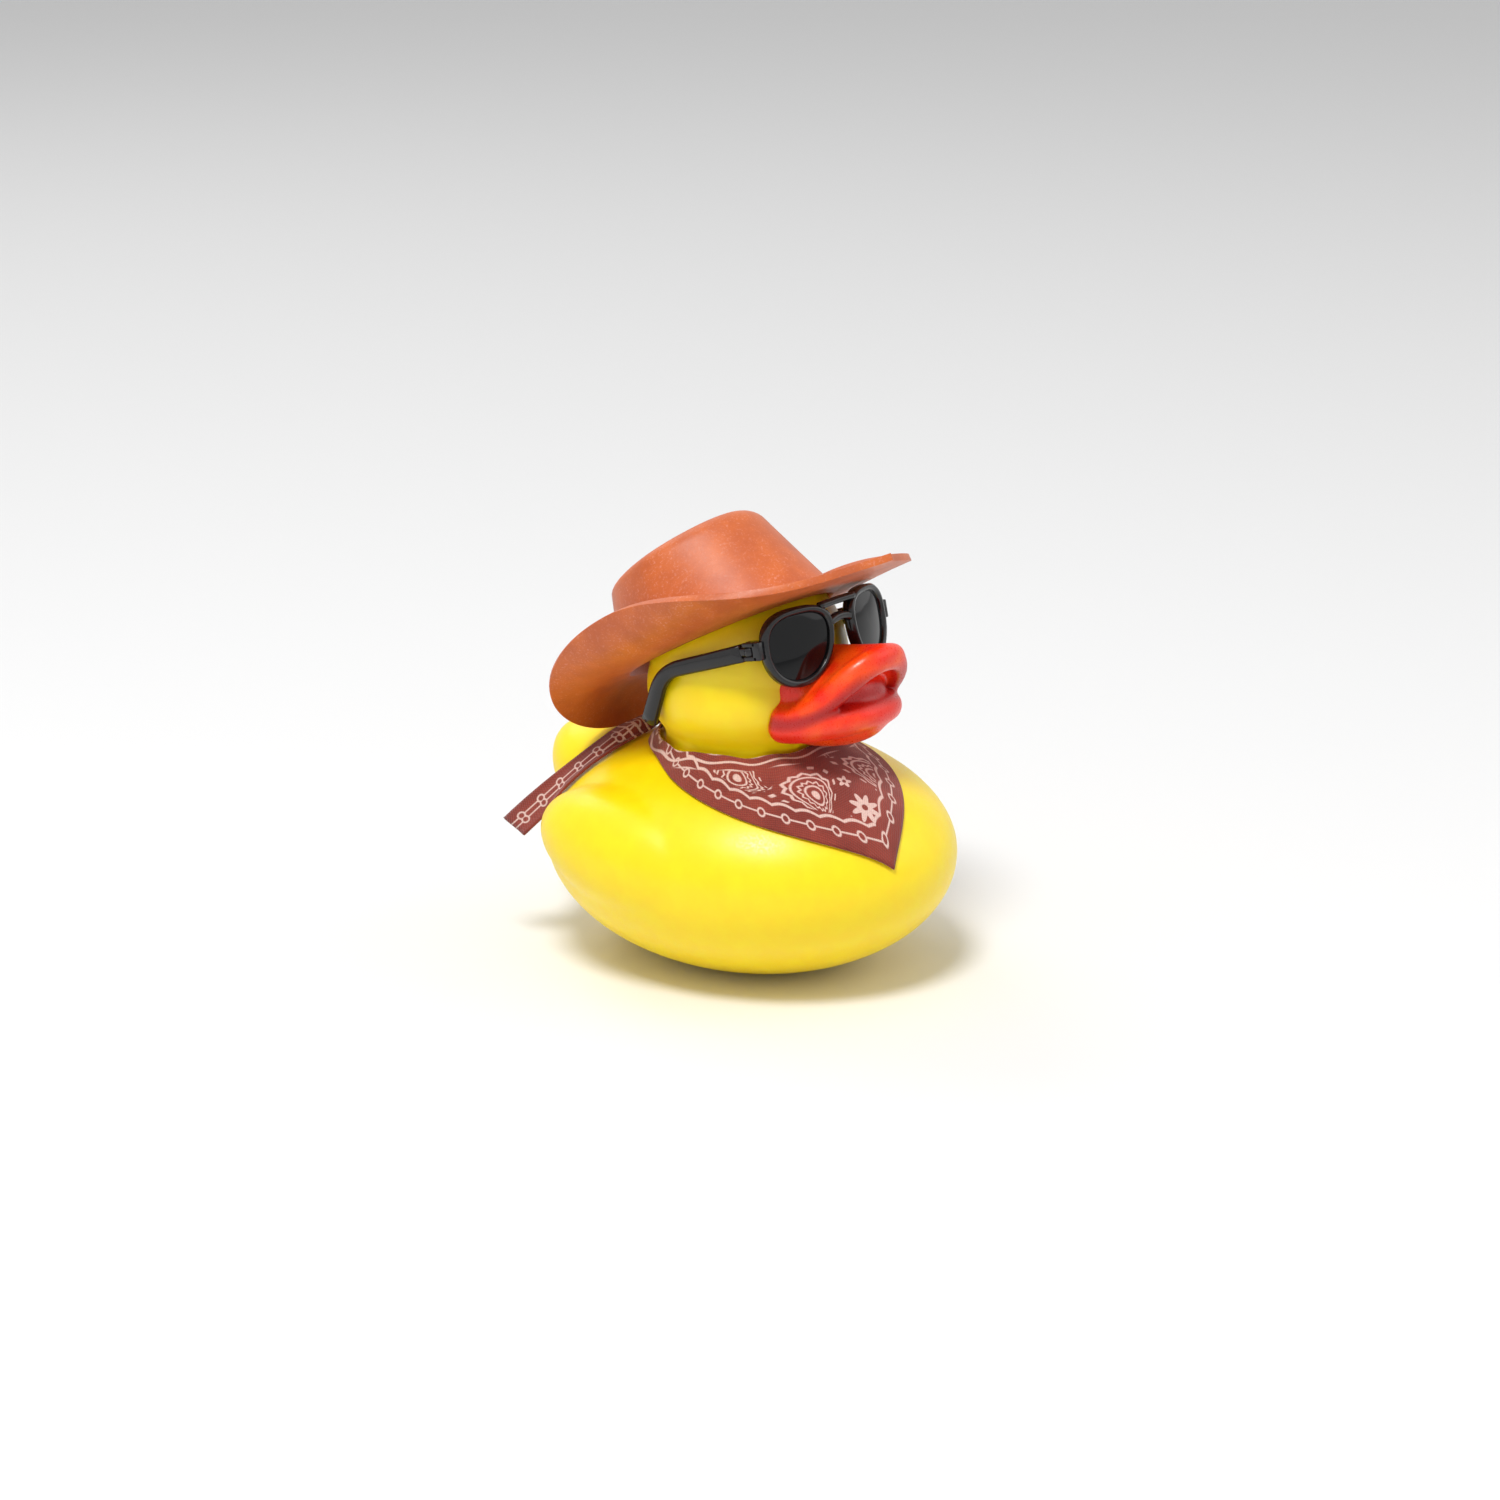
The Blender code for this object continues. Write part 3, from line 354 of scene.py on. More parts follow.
def hat_material():
    """Reddish-brown soft plastic with a painted sheen: pale pink speckles in broad patches."""
    look = Nodes("hat_plastic")
    broad = look.noise(140, 5, 0.6)
    speckle = look.noise(2600, 3, 0.7)
    base = look.mix(look.ramp(broad, 0.3, 0.7), srgb(186, 88, 40), srgb(208, 104, 42))
    # Painted sheen: pale pink speckles, stronger in broad patches, stand in for light reflected off the
    # shell.
    pale_mask = look.times(look.ramp(speckle, 0.5, 0.72), look.ramp(broad, 0.35, 0.75, 0.2, 0.65))
    look.set(Base_Color=look.mix(pale_mask, base, srgb(226, 158, 138)),
             Roughness=look.ramp(speckle, 0.3, 0.7, 0.38, 0.52),
             Normal=look.bump(speckle, 0.16, 0.0001, look.bump(broad, 0.1, 0.0006)))
    return look.made


def black_material(name):
    """Glossy moulded black plastic with faint flow marks."""
    look = Nodes(name)
    flow = look.noise(900, 3, 0.6, 0.6)
    look.set(Base_Color=look.mix(look.ramp(flow, 0.3, 0.7), srgb(14, 14, 16), srgb(24, 23, 25)),
             Roughness=look.ramp(flow, 0.3, 0.7, 0.14, 0.24), Normal=look.bump(flow, 0.08, 0.0001))
    return look.made


def lens_material(name):
    """Smoked, polished plastic with a trace of dust."""
    look = Nodes(name)
    dust = look.noise(1800, 5, 0.7)
    look.set(Base_Color=look.mix(look.ramp(dust, 0.6, 0.8, 0.0, 0.3), srgb(5, 6, 8), srgb(26, 28, 32)),
             Roughness=look.ramp(dust, 0.5, 0.8, 0.05, 0.14), IOR=1.36)
    return look.made


def whistle_material():
    """Plain pale moulded plastic."""
    look = Nodes("whistle_plastic")
    fine = look.noise(1500, 3)
    look.set(Base_Color=look.mix(look.ramp(fine, 0.3, 0.7), srgb(226, 224, 214), srgb(238, 236, 228)),
             Roughness=look.ramp(fine, 0.3, 0.7, 0.3, 0.42))
    return look.made


def band(look, value, middle, half, soft=0.02):
    """1 where a value lies within half a width of its middle."""
    away = look.math("ABSOLUTE", look.math("SUBTRACT", value, middle))
    return look.ramp(away, half - soft, half + soft, 1.0, 0.0)


def wrapped(look, value):
    """A value's place in its cell, from -0.5 to 0.5."""
    return look.math("SUBTRACT", look.math("FRACT", value), 0.5)


def polar(look, across, up):
    """Distance and angle from a cell's middle."""
    square = look.math("ADD", look.times(across, across), look.times(up, up))
    reach = look.math("SQRT", square)
    return reach, look.math("ARCTAN2", across, up)


def paisley_print(look):
    """Serrated drops in rows, wavy lines at the collar, a flower at the tip and a chain along the hem."""
    across, up = look.uv("cloth")
    along, inward = look.uv("hem")
    cell_width = 1.3
    cell_height = 1.05
    rows = look.math("MULTIPLY_ADD", up, 1 / cell_height, 0.26)
    row = look.math("FLOOR", rows)
    moved = look.math("ADD", look.math("DIVIDE", across, cell_width), look.times(row, 0.5))
    flip = look.math("MULTIPLY_ADD", look.math("PINGPONG", row, 1.0), -2 * cell_width, cell_width)
    x = look.times(wrapped(look, moved), flip)
    y = look.times(wrapped(look, rows), cell_height)
    tall = look.math("DIVIDE", y, 0.47)
    bend = look.times(look.times(tall, tall), 0.15)
    wide = look.math("DIVIDE", look.math("SUBTRACT", look.math("ADD", x, bend), 0.06), 0.5)
    taper = look.most(look.math("MULTIPLY_ADD", tall, -0.45, 0.6), 0.12)
    reach, angle = polar(look, look.math("DIVIDE", wide, taper), tall)
    teeth = look.math("PINGPONG", look.times(angle, 4.4), 1.0)
    serrated = look.math("MULTIPLY_ADD", teeth, 0.11, reach)
    drop = look.most(band(look, serrated, 1.04, 0.05, 0.025), band(look, reach, 0.82, 0.035, 0.02))
    drop = look.most(drop, band(look, serrated, 0.64, 0.04, 0.025))
    drop = look.most(drop, band(look, reach, 0.4, 0.04, 0.025))
    drop = look.most(drop, look.ramp(reach, 0.15, 0.22, 1.0, 0.0))
    seeds = look.ramp(look.math("SINE", look.times(angle, 16.0)), 0.2, 0.5)
    drop = look.most(drop, look.times(band(look, reach, 1.3, 0.06, 0.03), seeds))

    sprig_x = look.times(wrapped(look, look.math("ADD", moved, 0.5)), cell_width)
    sprig_reach, sprig_angle = polar(look, sprig_x, y)
    lobes = look.math("MULTIPLY_ADD", look.math("COSINE", look.times(sprig_angle, 5.0)), 0.03, 0.09)
    petal = look.ramp(look.math("SUBTRACT", sprig_reach, lobes), -0.01, 0.01, 1.0, 0.0)
    sprig = look.times(petal, look.ramp(sprig_reach, 0.025, 0.04))
    field = look.times(look.most(drop, sprig), look.ramp(inward, 0.45, 0.47))

    collar_reach, collar_angle = polar(look, across, up)
    ripple = look.times(look.math("SINE", look.times(collar_angle, 13.0)), 0.16)
    waves = band(look, wrapped(look, look.math("MULTIPLY_ADD", collar_reach, 6.5, ripple)), 0.0, 0.13, 0.06)
    near_collar = look.ramp(collar_reach, 1.74, 1.77, 1.0, 0.0)
    field = look.times(field, look.math("SUBTRACT", 1.0, near_collar))
    field = look.most(field, look.times(waves, near_collar))

    bloom_reach, bloom_angle = polar(look, across, look.math("SUBTRACT", up, 2.86))
    petals = look.math("MULTIPLY_ADD", look.math("COSINE", look.times(bloom_angle, 8.0)), 0.06, 0.19)
    ray = look.ramp(look.math("SUBTRACT", bloom_reach, petals), -0.012, 0.012, 1.0, 0.0)
    pale_mask = look.times(ray, look.ramp(bloom_reach, 0.04, 0.06))
    field = look.times(field, look.ramp(bloom_reach, 0.3, 0.32))
    field = look.most(field, pale_mask)

    swing = look.math("ABSOLUTE", look.math("SINE", look.times(along, 7.85)))
    scallops = band(look, look.math("MULTIPLY_ADD", swing, -0.05, inward), 0.36, 0.022, 0.01)
    loop_x = look.times(wrapped(look, look.times(along, 2.5)), 0.4)
    loop_reach = polar(look, loop_x, look.math("SUBTRACT", inward, 0.2))[0]
    loops = band(look, loop_reach, 0.058, 0.014, 0.01)
    links = look.times(band(look, inward, 0.2, 0.012, 0.008), look.ramp(loop_reach, 0.05, 0.06))
    border = look.most(look.most(loops, links), scallops)
    return look.most(field, border)


def cloth_material():
    """Woven cotton in rust red with a white print, and painted shade that follows the weave."""
    look = Nodes("printed_cotton")
    across, up = look.uv("cloth")
    threads = 2 * math.pi * CLOTH_UNIT / (0.42 * MM)
    warp = look.math("SINE", look.times(across, threads))
    weft = look.math("SINE", look.times(up, threads))
    weave = look.math("MULTIPLY_ADD", look.times(warp, weft), 0.5, 0.5)
    fibre = look.noise(3500, 3, 0.7)
    fading = look.noise(220, 4)
    base = look.mix(look.ramp(fading, 0.3, 0.7), srgb(134, 44, 28), srgb(160, 60, 42))
    # Painted thread shade: the cloth darker in the pattern of the weave.
    base = look.mix(look.times(weave, 0.6), base, srgb(84, 20, 12))
    ink = look.times(paisley_print(look), look.ramp(fibre, 0.25, 0.6, 0.72, 0.95))
    # Painted thread shade on the print as well: the ink fainter in the same pattern.
    ink = look.times(ink, look.ramp(weave, 0.0, 1.0, 1.0, 0.8))
    look.set(Base_Color=look.mix(ink, base, srgb(238, 206, 194)), Roughness=0.88, Sheen_Weight=0.25,
             Sheen_Roughness=0.5,
             Normal=look.bump(fibre, 0.2, 0.00012, look.bump(weave, 0.55, 0.00016)))
    return look.made


def finished(name, shape, look, node, body=BODY, smooth=True):
    """Wraps a mesh or bmesh as a piece that replaces a CAD node and rides on a body."""
    if isinstance(shape, bmesh.types.BMesh):
        mesh = bpy.data.meshes.new(name)
        shape.to_mesh(mesh)
        shape.free()
    else:
        mesh = shape
        mesh.name = name
    mesh.transform(SHIFT)
    mesh.materials.clear()
    mesh.materials.append(look)
    piece = bpy.data.objects.new(name, mesh)
    scene.collection.objects.link(piece)
    if smooth:
        mesh.shade_smooth()
    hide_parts(node)
    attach(piece, body)
    return piece


def evaluated(shape, *steps):
    """The mesh of a bmesh after modifiers given as (type, settings)."""
    mesh = bpy.data.meshes.new("work")
    shape.to_mesh(mesh)
    shape.free()
    item = bpy.data.objects.new("work", mesh)
    scene.collection.objects.link(item)
    for kind, settings in steps:
        step = item.modifiers.new(kind, kind)
        for key, value in settings.items():
            setattr(step, key, value)
    bpy.context.view_layer.update()
    view = bpy.context.evaluated_depsgraph_get()
    made = bpy.data.meshes.new_from_object(item.evaluated_get(view))
    bpy.data.objects.remove(item, do_unlink=True)
    return made


def add_ball(shape, centre, radii, pitch=0.0, above=None):
    """Adds an ellipsoid; above gives its upper half another height."""
    ball = bmesh.ops.create_uvsphere(shape, u_segments=72, v_segments=40, radius=1.0)
    turn = Matrix.Rotation(pitch, 4, "X")
    for vertex in ball["verts"]:
        height = above if above is not None and vertex.co.z > 0 else radii[2]
        vertex.co = Vector((vertex.co.x * radii[0], vertex.co.y * radii[1], vertex.co.z * height))
        vertex.co = turn @ vertex.co + Vector(centre)


def sweep(shape, path, section):
    """Adds a tube: section(index) gives the ring's points round each path point."""
    rings = [[shape.verts.new(point) for point in section(index)] for index in range(len(path))]
    for first, second in zip(rings, rings[1:]):
        count = len(first)
        for step in range(count):
            following = (step + 1) % count
            shape.faces.new((first[step], first[following], second[following], second[step]))
    shape.faces.new(list(reversed(rings[0])))
    shape.faces.new(rings[-1])


def path_frames(path):
    """Forward directions along a path."""
    ways = []
    for index in range(len(path)):
        ahead = path[min(index + 1, len(path) - 1)]
        behind = path[max(index - 1, 0)]
        ways.append((ahead - behind).normalized())
    return ways


def add_tube(shape, path, radii, sides=14, up=Vector((0, 0, 1))):
    """Adds a round tube along a path with a radius for each point."""
    ways = path_frames(path)

    def ring(index):
        side = ways[index].cross(up).normalized()
        other = side.cross(ways[index]).normalized()
        points = []
        for step in range(sides):
            turn = 2 * math.pi * step / sides
            points.append(path[index] + (side * math.cos(turn) + other * math.sin(turn)) * radii[index])
        return points

    sweep(shape, path, ring)


def duck_skin():
    """The yellow casting without its bill, flat underneath."""
    shape = bmesh.new()
    add_ball(shape, (0, 0, BODY_WAIST), (BODY_HALF_WIDTH, BODY_HALF_LENGTH, BODY_BELOW), above=BODY_ABOVE)
    add_ball(shape, (0, BODY_HALF_LENGTH - TAIL_ROOT_DEPTH, TAIL_MIDDLE),
             (TAIL_WIDTH / 2, TAIL_LENGTH + TAIL_ROOT_DEPTH, TAIL_HEIGHT / 2), pitch=TAIL_PITCH)
    wing_side = BODY_HALF_WIDTH + WING_RAISE - WING_THICKNESS / 2
    for side in (-1, 1):
        add_ball(shape, (side * wing_side, WING_BACK, WING_MIDDLE),
                 (WING_THICKNESS / 2, WING_LENGTH / 2, WING_HEIGHT / 2), pitch=WING_TILT)
    add_ball(shape, HEAD_CENTRE, (HEAD_RADIUS,) * 3)
    add_ball(shape, HEAD_CENTRE - Vector((0, 0, CHEEK_DROP)), (CHEEK_RADIUS, CHEEK_RADIUS, CHEEK_HEIGHT / 2))
    add_ball(shape, (0, 0, BODY_TOP), (NECK_RADIUS, NECK_RADIUS, NECK_HEIGHT / 2))
    mesh = evaluated(shape, ("REMESH", {"mode": "VOXEL", "voxel_size": BODY_VOXEL}),
                     ("SMOOTH", {"factor": 0.5, "iterations": BODY_SMOOTHING}))
    for vertex in mesh.vertices:
        vertex.co.z = max(vertex.co.z, 0.0)
    return mesh


def bill_edge(share, corner_side, corner_height, reach, tip_height, upturn):
    """A point of a bill's edge; share runs from -1 at one corner over 0 at the tip to 1."""
    turn = share * math.pi / 2
    ahead = math.cos(turn)
    across = corner_side * math.copysign(abs(math.sin(turn)) ** BILL_FULLNESS, share)
    along = -(BILL_CORNER_BACK + (reach - BILL_CORNER_BACK) * ahead ** BILL_FULLNESS)
    return Vector((across, along, corner_height + (tip_height - corner_height) * ahead ** upturn))


def bill():
    """The painted bill: an upturned upper bill over a full lower lip, and a deeper mouth line, with a mask
    of painted shade along that line.
    """
    shape = bmesh.new()
    shares = [step / BILL_STEPS for step in range(-BILL_STEPS, BILL_STEPS + 1)]
    rim = [bill_edge(share, BILL_CORNER_SIDE, BILL_CORNER_HEIGHT, BILL_TIP_REACH, BILL_TIP_HEIGHT,
                     RIM_UPTURN)
           for share in shares]
    lip = [bill_edge(share, LIP_CORNER_SIDE, LIP_CORNER_HEIGHT, LIP_REACH, LIP_HEIGHT, LIP_UPTURN)
           for share in shares]
    for edge, radius in ((rim, BILL_RIM_RADIUS), (lip, BILL_LIP_RADIUS)):
        add_tube(shape, edge, [radius] * len(edge))
        for end in (edge[0], edge[-1]):
            add_ball(shape, end, (radius,) * 3)
    for left, right in zip(rim[:BILL_STEPS], reversed(rim[BILL_STEPS + 1:])):
        walked = (left.y + BILL_CORNER_BACK) / (BILL_CORNER_BACK - BILL_TIP_REACH)
        crest = BILL_ROOT_HEIGHT + (BILL_CREST_HEIGHT - BILL_ROOT_HEIGHT) * walked
        row = [left.lerp(right, step / BILL_STEPS) for step in range(BILL_STEPS + 1)]
        for point in row:
            middle = 1 - abs(point.x / BILL_CORNER_SIDE)
            point.z += max(0.0, crest - left.z) * middle
        add_tube(shape, row, [BILL_RIM_RADIUS] * len(row))
    middle_height = (BILL_CORNER_HEIGHT + BILL_TIP_HEIGHT) / 2
    add_ball(shape, (0, -BILL_CORNER_BACK, middle_height - BILL_RIM_RADIUS / 2),
             (BILL_CORE_SIDE, BILL_CORE_REACH - BILL_CORNER_BACK, BILL_CORE_HEIGHT / 2))
    add_ball(shape, (0, -BILL_CORNER_BACK, (LIP_CORNER_HEIGHT + LIP_HEIGHT) / 2),
             (BOWL_SIDE, BOWL_REACH - BILL_CORNER_BACK, BOWL_HEIGHT / 2))
    mesh = evaluated(shape, ("REMESH", {"mode": "VOXEL", "voxel_size": BILL_VOXEL}),
                     ("SMOOTH", {"factor": 0.5, "iterations": BILL_SMOOTHING}))
    # Painted shade along the mouth line: 1 midway between rim and lip, fading out above and below.
    mouth_shade = mesh.attributes.new("mouth_shade", "FLOAT", "POINT")
    for vertex in mesh.vertices:
        walked = (vertex.co.y + BILL_CORNER_BACK) / (BILL_CORNER_BACK - BILL_TIP_REACH)
        ahead = min(1.0, max(0.0, walked)) ** (1 / BILL_FULLNESS)
        roof = BILL_CORNER_HEIGHT + (BILL_TIP_HEIGHT - BILL_CORNER_HEIGHT) * ahead ** RIM_UPTURN
        sill = LIP_CORNER_HEIGHT + (LIP_HEIGHT - LIP_CORNER_HEIGHT) * ahead
        roof -= BILL_RIM_RADIUS
        sill += BILL_LIP_RADIUS
        away = abs(vertex.co.z - (roof + sill) / 2) / (max(0.0, roof - sill) / 2 + MOUTH_SHADE_SPREAD)
        mouth_shade.data[vertex.index].value = max(0.0, 1 - away * away)
    return mesh


def hat_matrix():
    """The hat's frame: its opening is the plane z = 0, tipped back on the head."""
    tilt = Matrix.Rotation(-HAT_PITCH, 4, "X") @ Matrix.Rotation(HAT_ROLL, 4, "Y")
    centre = HEAD_CENTRE + tilt.to_3x3() @ Vector((0, HAT_SETBACK, HAT_SEAT))
    return Matrix.Translation(centre) @ tilt


def brim_section(turn):
    """Width, first slope and roll of the brim at an angle from the front."""
    ahead = math.cos(turn) > 0
    side = abs(math.sin(turn)) ** (BRIM_FRONT_SPREAD if ahead else BRIM_REAR_SPREAD)
    long_width = BRIM_FRONT if ahead else BRIM_REAR
    dip = BRIM_FRONT_DIP if ahead else BRIM_REAR_DIP
    narrowing = abs(math.sin(turn)) ** BRIM_FRONT_TAPER if ahead else side
    width = long_width + (BRIM_SIDE - long_width) * narrowing
    start = BRIM_SIDE_START * side
    side_roll = BRIM_RIGHT_ROLL + (BRIM_LEFT_ROLL - BRIM_RIGHT_ROLL) * (1 + math.sin(turn)) / 2
    roll = side_roll * side - dip * (1 - side)
    return width, start, roll


def crown_point(turn, height, inward=0.0):
    """A point of the crown's outer wall at one height, drawn in by a share of its size."""
    lean = CROWN_TAPER * height / CROWN_HEIGHT
    near_top = max(0.0, (height - (CROWN_HEIGHT - CROWN_SHOULDER)) / CROWN_SHOULDER)
    lean += CROWN_SHOULDER * (1 - math.sqrt(max(0.0, 1 - near_top ** 2)))
    share = height / CROWN_HEIGHT
    forward = math.cos(turn)
    half_width = (OPENING_HALF_WIDTH + HAT_WALL - lean) * (1 - inward)
    half_width *= 1 - CROWN_PINCH * share * max(0.0, forward)
    lean += (CROWN_FRONT_LEAN if forward > 0 else CROWN_REAR_LEAN) * share
    half_length = (OPENING_HALF_LENGTH + HAT_WALL - lean) * (1 - inward)
    rise = height - CROWN_REAR_DROP * share * (1 - forward) / 2
    return Vector((half_width * math.sin(turn), -half_length * forward, rise))


def hat():
    """The moulded shell: creased crown, and a brim rolled up at the sides."""
    shape = bmesh.new()
    turns = [2 * math.pi * step / HAT_STEPS for step in range(HAT_STEPS)]
    rows = []
    for step in range(1, CREASE_ROWS):
        inward = 1 - step / CREASE_ROWS
        row = []
        for turn in turns:
            point = crown_point(turn, CROWN_HEIGHT, inward)
            point.z -= CROWN_CREASE * math.cos(math.pi / 2 * (1 - inward)) ** 2
            row.append(point)
        rows.append(row)
    for step in range(WALL_ROWS + 1):
        share = math.cos(math.pi / 2 * step / WALL_ROWS)
        rows.append([crown_point(turn, CROWN_HEIGHT * share) for turn in turns])
    for step in range(1, BRIM_ROWS + 1):
        row = []
        for turn in turns:
            width, start, roll = brim_section(turn)
            point = crown_point(turn, 0.0)
            outward = Vector((point.x, point.y, 0)).normalized()
            walked = step / BRIM_ROWS
            stride = width * walked / BRIM_STRIDES
            for count in range(BRIM_STRIDES):
                slope = start + roll * walked * (count + 0.5) / BRIM_STRIDES
                point += outward * (stride * math.cos(slope)) + Vector((0, 0, stride * math.sin(slope)))
            row.append(point)
        rows.append(row)
    grid = [[shape.verts.new(point) for point in row] for row in rows]
    top = shape.verts.new((0, 0, CROWN_HEIGHT - CROWN_CREASE - CROWN_REAR_DROP / 2))
    for column in range(HAT_STEPS):
        following = (column + 1) % HAT_STEPS
        shape.faces.new((top, grid[0][column], grid[0][following]))
        for high, low in zip(grid, grid[1:]):
            shape.faces.new((high[column], low[column], low[following], high[following]))
    mesh = evaluated(shape, ("SOLIDIFY", {"thickness": HAT_WALL, "offset": -1.0, "use_even_offset": True}),
                     ("BEVEL", {"width": HAT_EDGE_ROUNDING, "segments": 3, "limit_method": "ANGLE",
                                "angle_limit": math.radians(50)}))
    mesh.transform(hat_matrix())
    return mesh


def glasses_matrix():
    """The sunglasses' frame: origin midway between the lenses, tilted like the front."""
    return Matrix.Translation((0, -GLASSES_REACH, GLASSES_HEIGHT)) @ Matrix.Rotation(-GLASSES_TILT, 4, "X")


def lens_matrix(side):
    """The frame of one lens, turned back by the wrap of the front."""
    return Matrix.Translation((side * LENS_SPACING / 2, 0, 0)) @ Matrix.Rotation(side * GLASSES_WRAP, 4, "Z")


def aviator_outline(side, inset, count=96):
    """The drop-shaped lens outline, wider above and fuller at its outer lower side."""
    half_width = RIM_OUTER_WIDTH / 2 - inset
    half_height = RIM_OUTER_HEIGHT / 2 - inset
    points = []
    for step in range(count):
        turn = 2 * math.pi * step / count
        power = RIM_TOP_SQUARENESS if math.sin(turn) > 0 else RIM_BOTTOM_SQUARENESS
        across = math.copysign(abs(math.cos(turn)) ** power, math.cos(turn))
        up = math.copysign(abs(math.sin(turn)) ** power, math.sin(turn))
        narrowing = 1 - RIM_NARROWING * (1 - up) / 2
        lean = RIM_LEAN * half_width * (1 - up) / 2
        points.append((side * (across * half_width * narrowing + lean), up * half_height))
    return points


def add_rim(shape, side):
    """Adds one rim with rounded edges."""
    half = RIM_DEPTH / 2
    round_off = RIM_ROUNDING
    profile = [(0, round_off - half), (round_off, -half), (RIM_BAR - round_off, -half),
               (RIM_BAR, round_off - half), (RIM_BAR, half - round_off), (RIM_BAR - round_off, half),
               (round_off, half), (0, half - round_off)]
    loops = []
    for inset, depth in profile:
        outline = aviator_outline(side, inset)
        loops.append([shape.verts.new(lens_matrix(side) @ Vector((x, depth, z))) for x, z in outline])
    for first, second in zip(loops, loops[1:] + loops[:1]):
        for step in range(len(first)):
            following = (step + 1) % len(first)
            shape.faces.new((first[step], first[following], second[following], second[step]))


def add_block(shape, low, high, matrix=Matrix.Identity(4)):
    """Adds a box with bevelled edges."""
    block = bmesh.new()
    bmesh.ops.create_cube(block, size=1.0)
    size = Vector(high) - Vector(low)
    middle = (Vector(high) + Vector(low)) / 2
    for vertex in block.verts:
        vertex.co = Vector(a * b for a, b in zip(vertex.co, size)) + middle
    bmesh.ops.bevel(block, geom=block.edges[:], offset=BLOCK_BEVEL, segments=2,
                    affect="EDGES", profile=0.6)
    bmesh.ops.transform(block, matrix=matrix, verts=block.verts)
    mesh = bpy.data.meshes.new("block")
    block.to_mesh(mesh)
    block.free()
    shape.from_mesh(mesh)
    bpy.data.meshes.remove(mesh)


def hinge_point(side):
    """The hinge axis at mid height, in the sunglasses' frame."""
    return Vector((side * HINGE_SIDE, GLASSES_REACH - HINGE_REACH, HINGE_RISE))


def curved(points, count):
    """A smooth path through a few control points, as a Bezier curve of any degree."""
    path = []
    for step in range(count + 1):
        share = step / count
        left = [Vector(point) for point in points]
        while len(left) > 1:
            left = [first.lerp(second, share) for first, second in zip(left, left[1:])]
        path.append(left[0])
    return path


def front():
    """Rims, brow bar, nose bridge and forked hinge lugs."""
    shape = bmesh.new()
    half_depth = RIM_DEPTH / 2
    for side in (-1, 1):
        add_rim(shape, side)
        middle = hinge_point(side)
        root = LENS_SPACING / 2 + RIM_OUTER_WIDTH / 2 * math.cos(GLASSES_WRAP) - RIM_BAR
        ends = sorted((side * root, middle.x + side * LUG_WIDTH / 2))
        lug_front = RIM_OUTER_WIDTH / 2 * math.sin(GLASSES_WRAP) - half_depth * 0.6
        slot_front = middle.y - TONGUE_RADIUS - FIT_GAP
        half_height = LUG_HEIGHT / 2
        add_block(shape, (ends[0], lug_front, middle.z - half_height),
                  (ends[1], slot_front + 0.2 * MM, middle.z + half_height))
        for above in (-1, 1):
            heights = sorted((middle.z + above * HINGE_SLOT / 2, middle.z + above * half_height))
            add_block(shape, (ends[0], slot_front - 0.6 * MM, heights[0]),
                      (ends[1], middle.y + TONGUE_RADIUS, heights[1]))
        pin = [middle + Vector((0, 0, share * HINGE_SLOT)) for share in (-1.12, -1, 0, 1, 1.12)]
        add_tube(shape, pin, [0.3 * MM] + [0.4 * MM] * 3 + [0.3 * MM], up=Vector((0, 1, 0)))
    inner = LENS_SPACING / 2 - RIM_OUTER_WIDTH / 2
    reach = inner + RIM_BAR
    brow_rise = RIM_OUTER_HEIGHT / 2 - BROW_BAR_RADIUS
    bar_depth = (RIM_BAR - RIM_OUTER_WIDTH / 2) * math.sin(GLASSES_WRAP)
    brow_end = reach + 2 * RIM_BAR
    brow = curved([(-brow_end, bar_depth, brow_rise - BROW_BAR_DROP), (-inner, bar_depth, brow_rise),
                   (inner, bar_depth, brow_rise), (brow_end, bar_depth, brow_rise - BROW_BAR_DROP)], 16)
    add_tube(shape, brow, [BROW_BAR_RADIUS] * len(brow), up=Vector((0, 1, 0)))
    nose_reach = reach + RIM_BAR / 2
    nose_end = NOSE_BAR_RISE - NOSE_BAR_DROP
    nose = curved([(-nose_reach, bar_depth, nose_end), (-inner, bar_depth, NOSE_BAR_RISE),
                   (inner, bar_depth, NOSE_BAR_RISE), (nose_reach, bar_depth, nose_end)], 16)
    add_tube(shape, nose, [NOSE_BAR_RADIUS] * len(nose), up=Vector((0, 1, 0)))
    mesh = bpy.data.meshes.new("front")
    shape.to_mesh(mesh)
    shape.free()
    mesh.transform(glasses_matrix())
    return mesh


def lens(side):
    """A polished lens, slightly domed, seated in its rim."""
    shape = bmesh.new()
    loops = []
    outline = aviator_outline(side, RIM_BAR - LENS_SEAT)
    for step in range(LENS_RINGS):
        share = 1 - step / LENS_RINGS
        depth = -LENS_BULGE * (1 - share * share)
        loops.append([shape.verts.new((x * share, depth, z * share)) for x, z in outline])
    centre = shape.verts.new((0, -LENS_BULGE, 0))
    count = len(outline)
    for outer, within in zip(loops, loops[1:]):
        for step in range(count):
            following = (step + 1) % count
            shape.faces.new((outer[step], outer[following], within[following], within[step]))
    for step in range(count):
        shape.faces.new((loops[-1][step], loops[-1][(step + 1) % count], centre))
    bmesh.ops.recalc_face_normals(shape, faces=shape.faces)
    mesh = evaluated(shape, ("SOLIDIFY", {"thickness": LENS_THICKNESS, "offset": 0.0}))
    mesh.transform(glasses_matrix() @ lens_matrix(side))
    return mesh


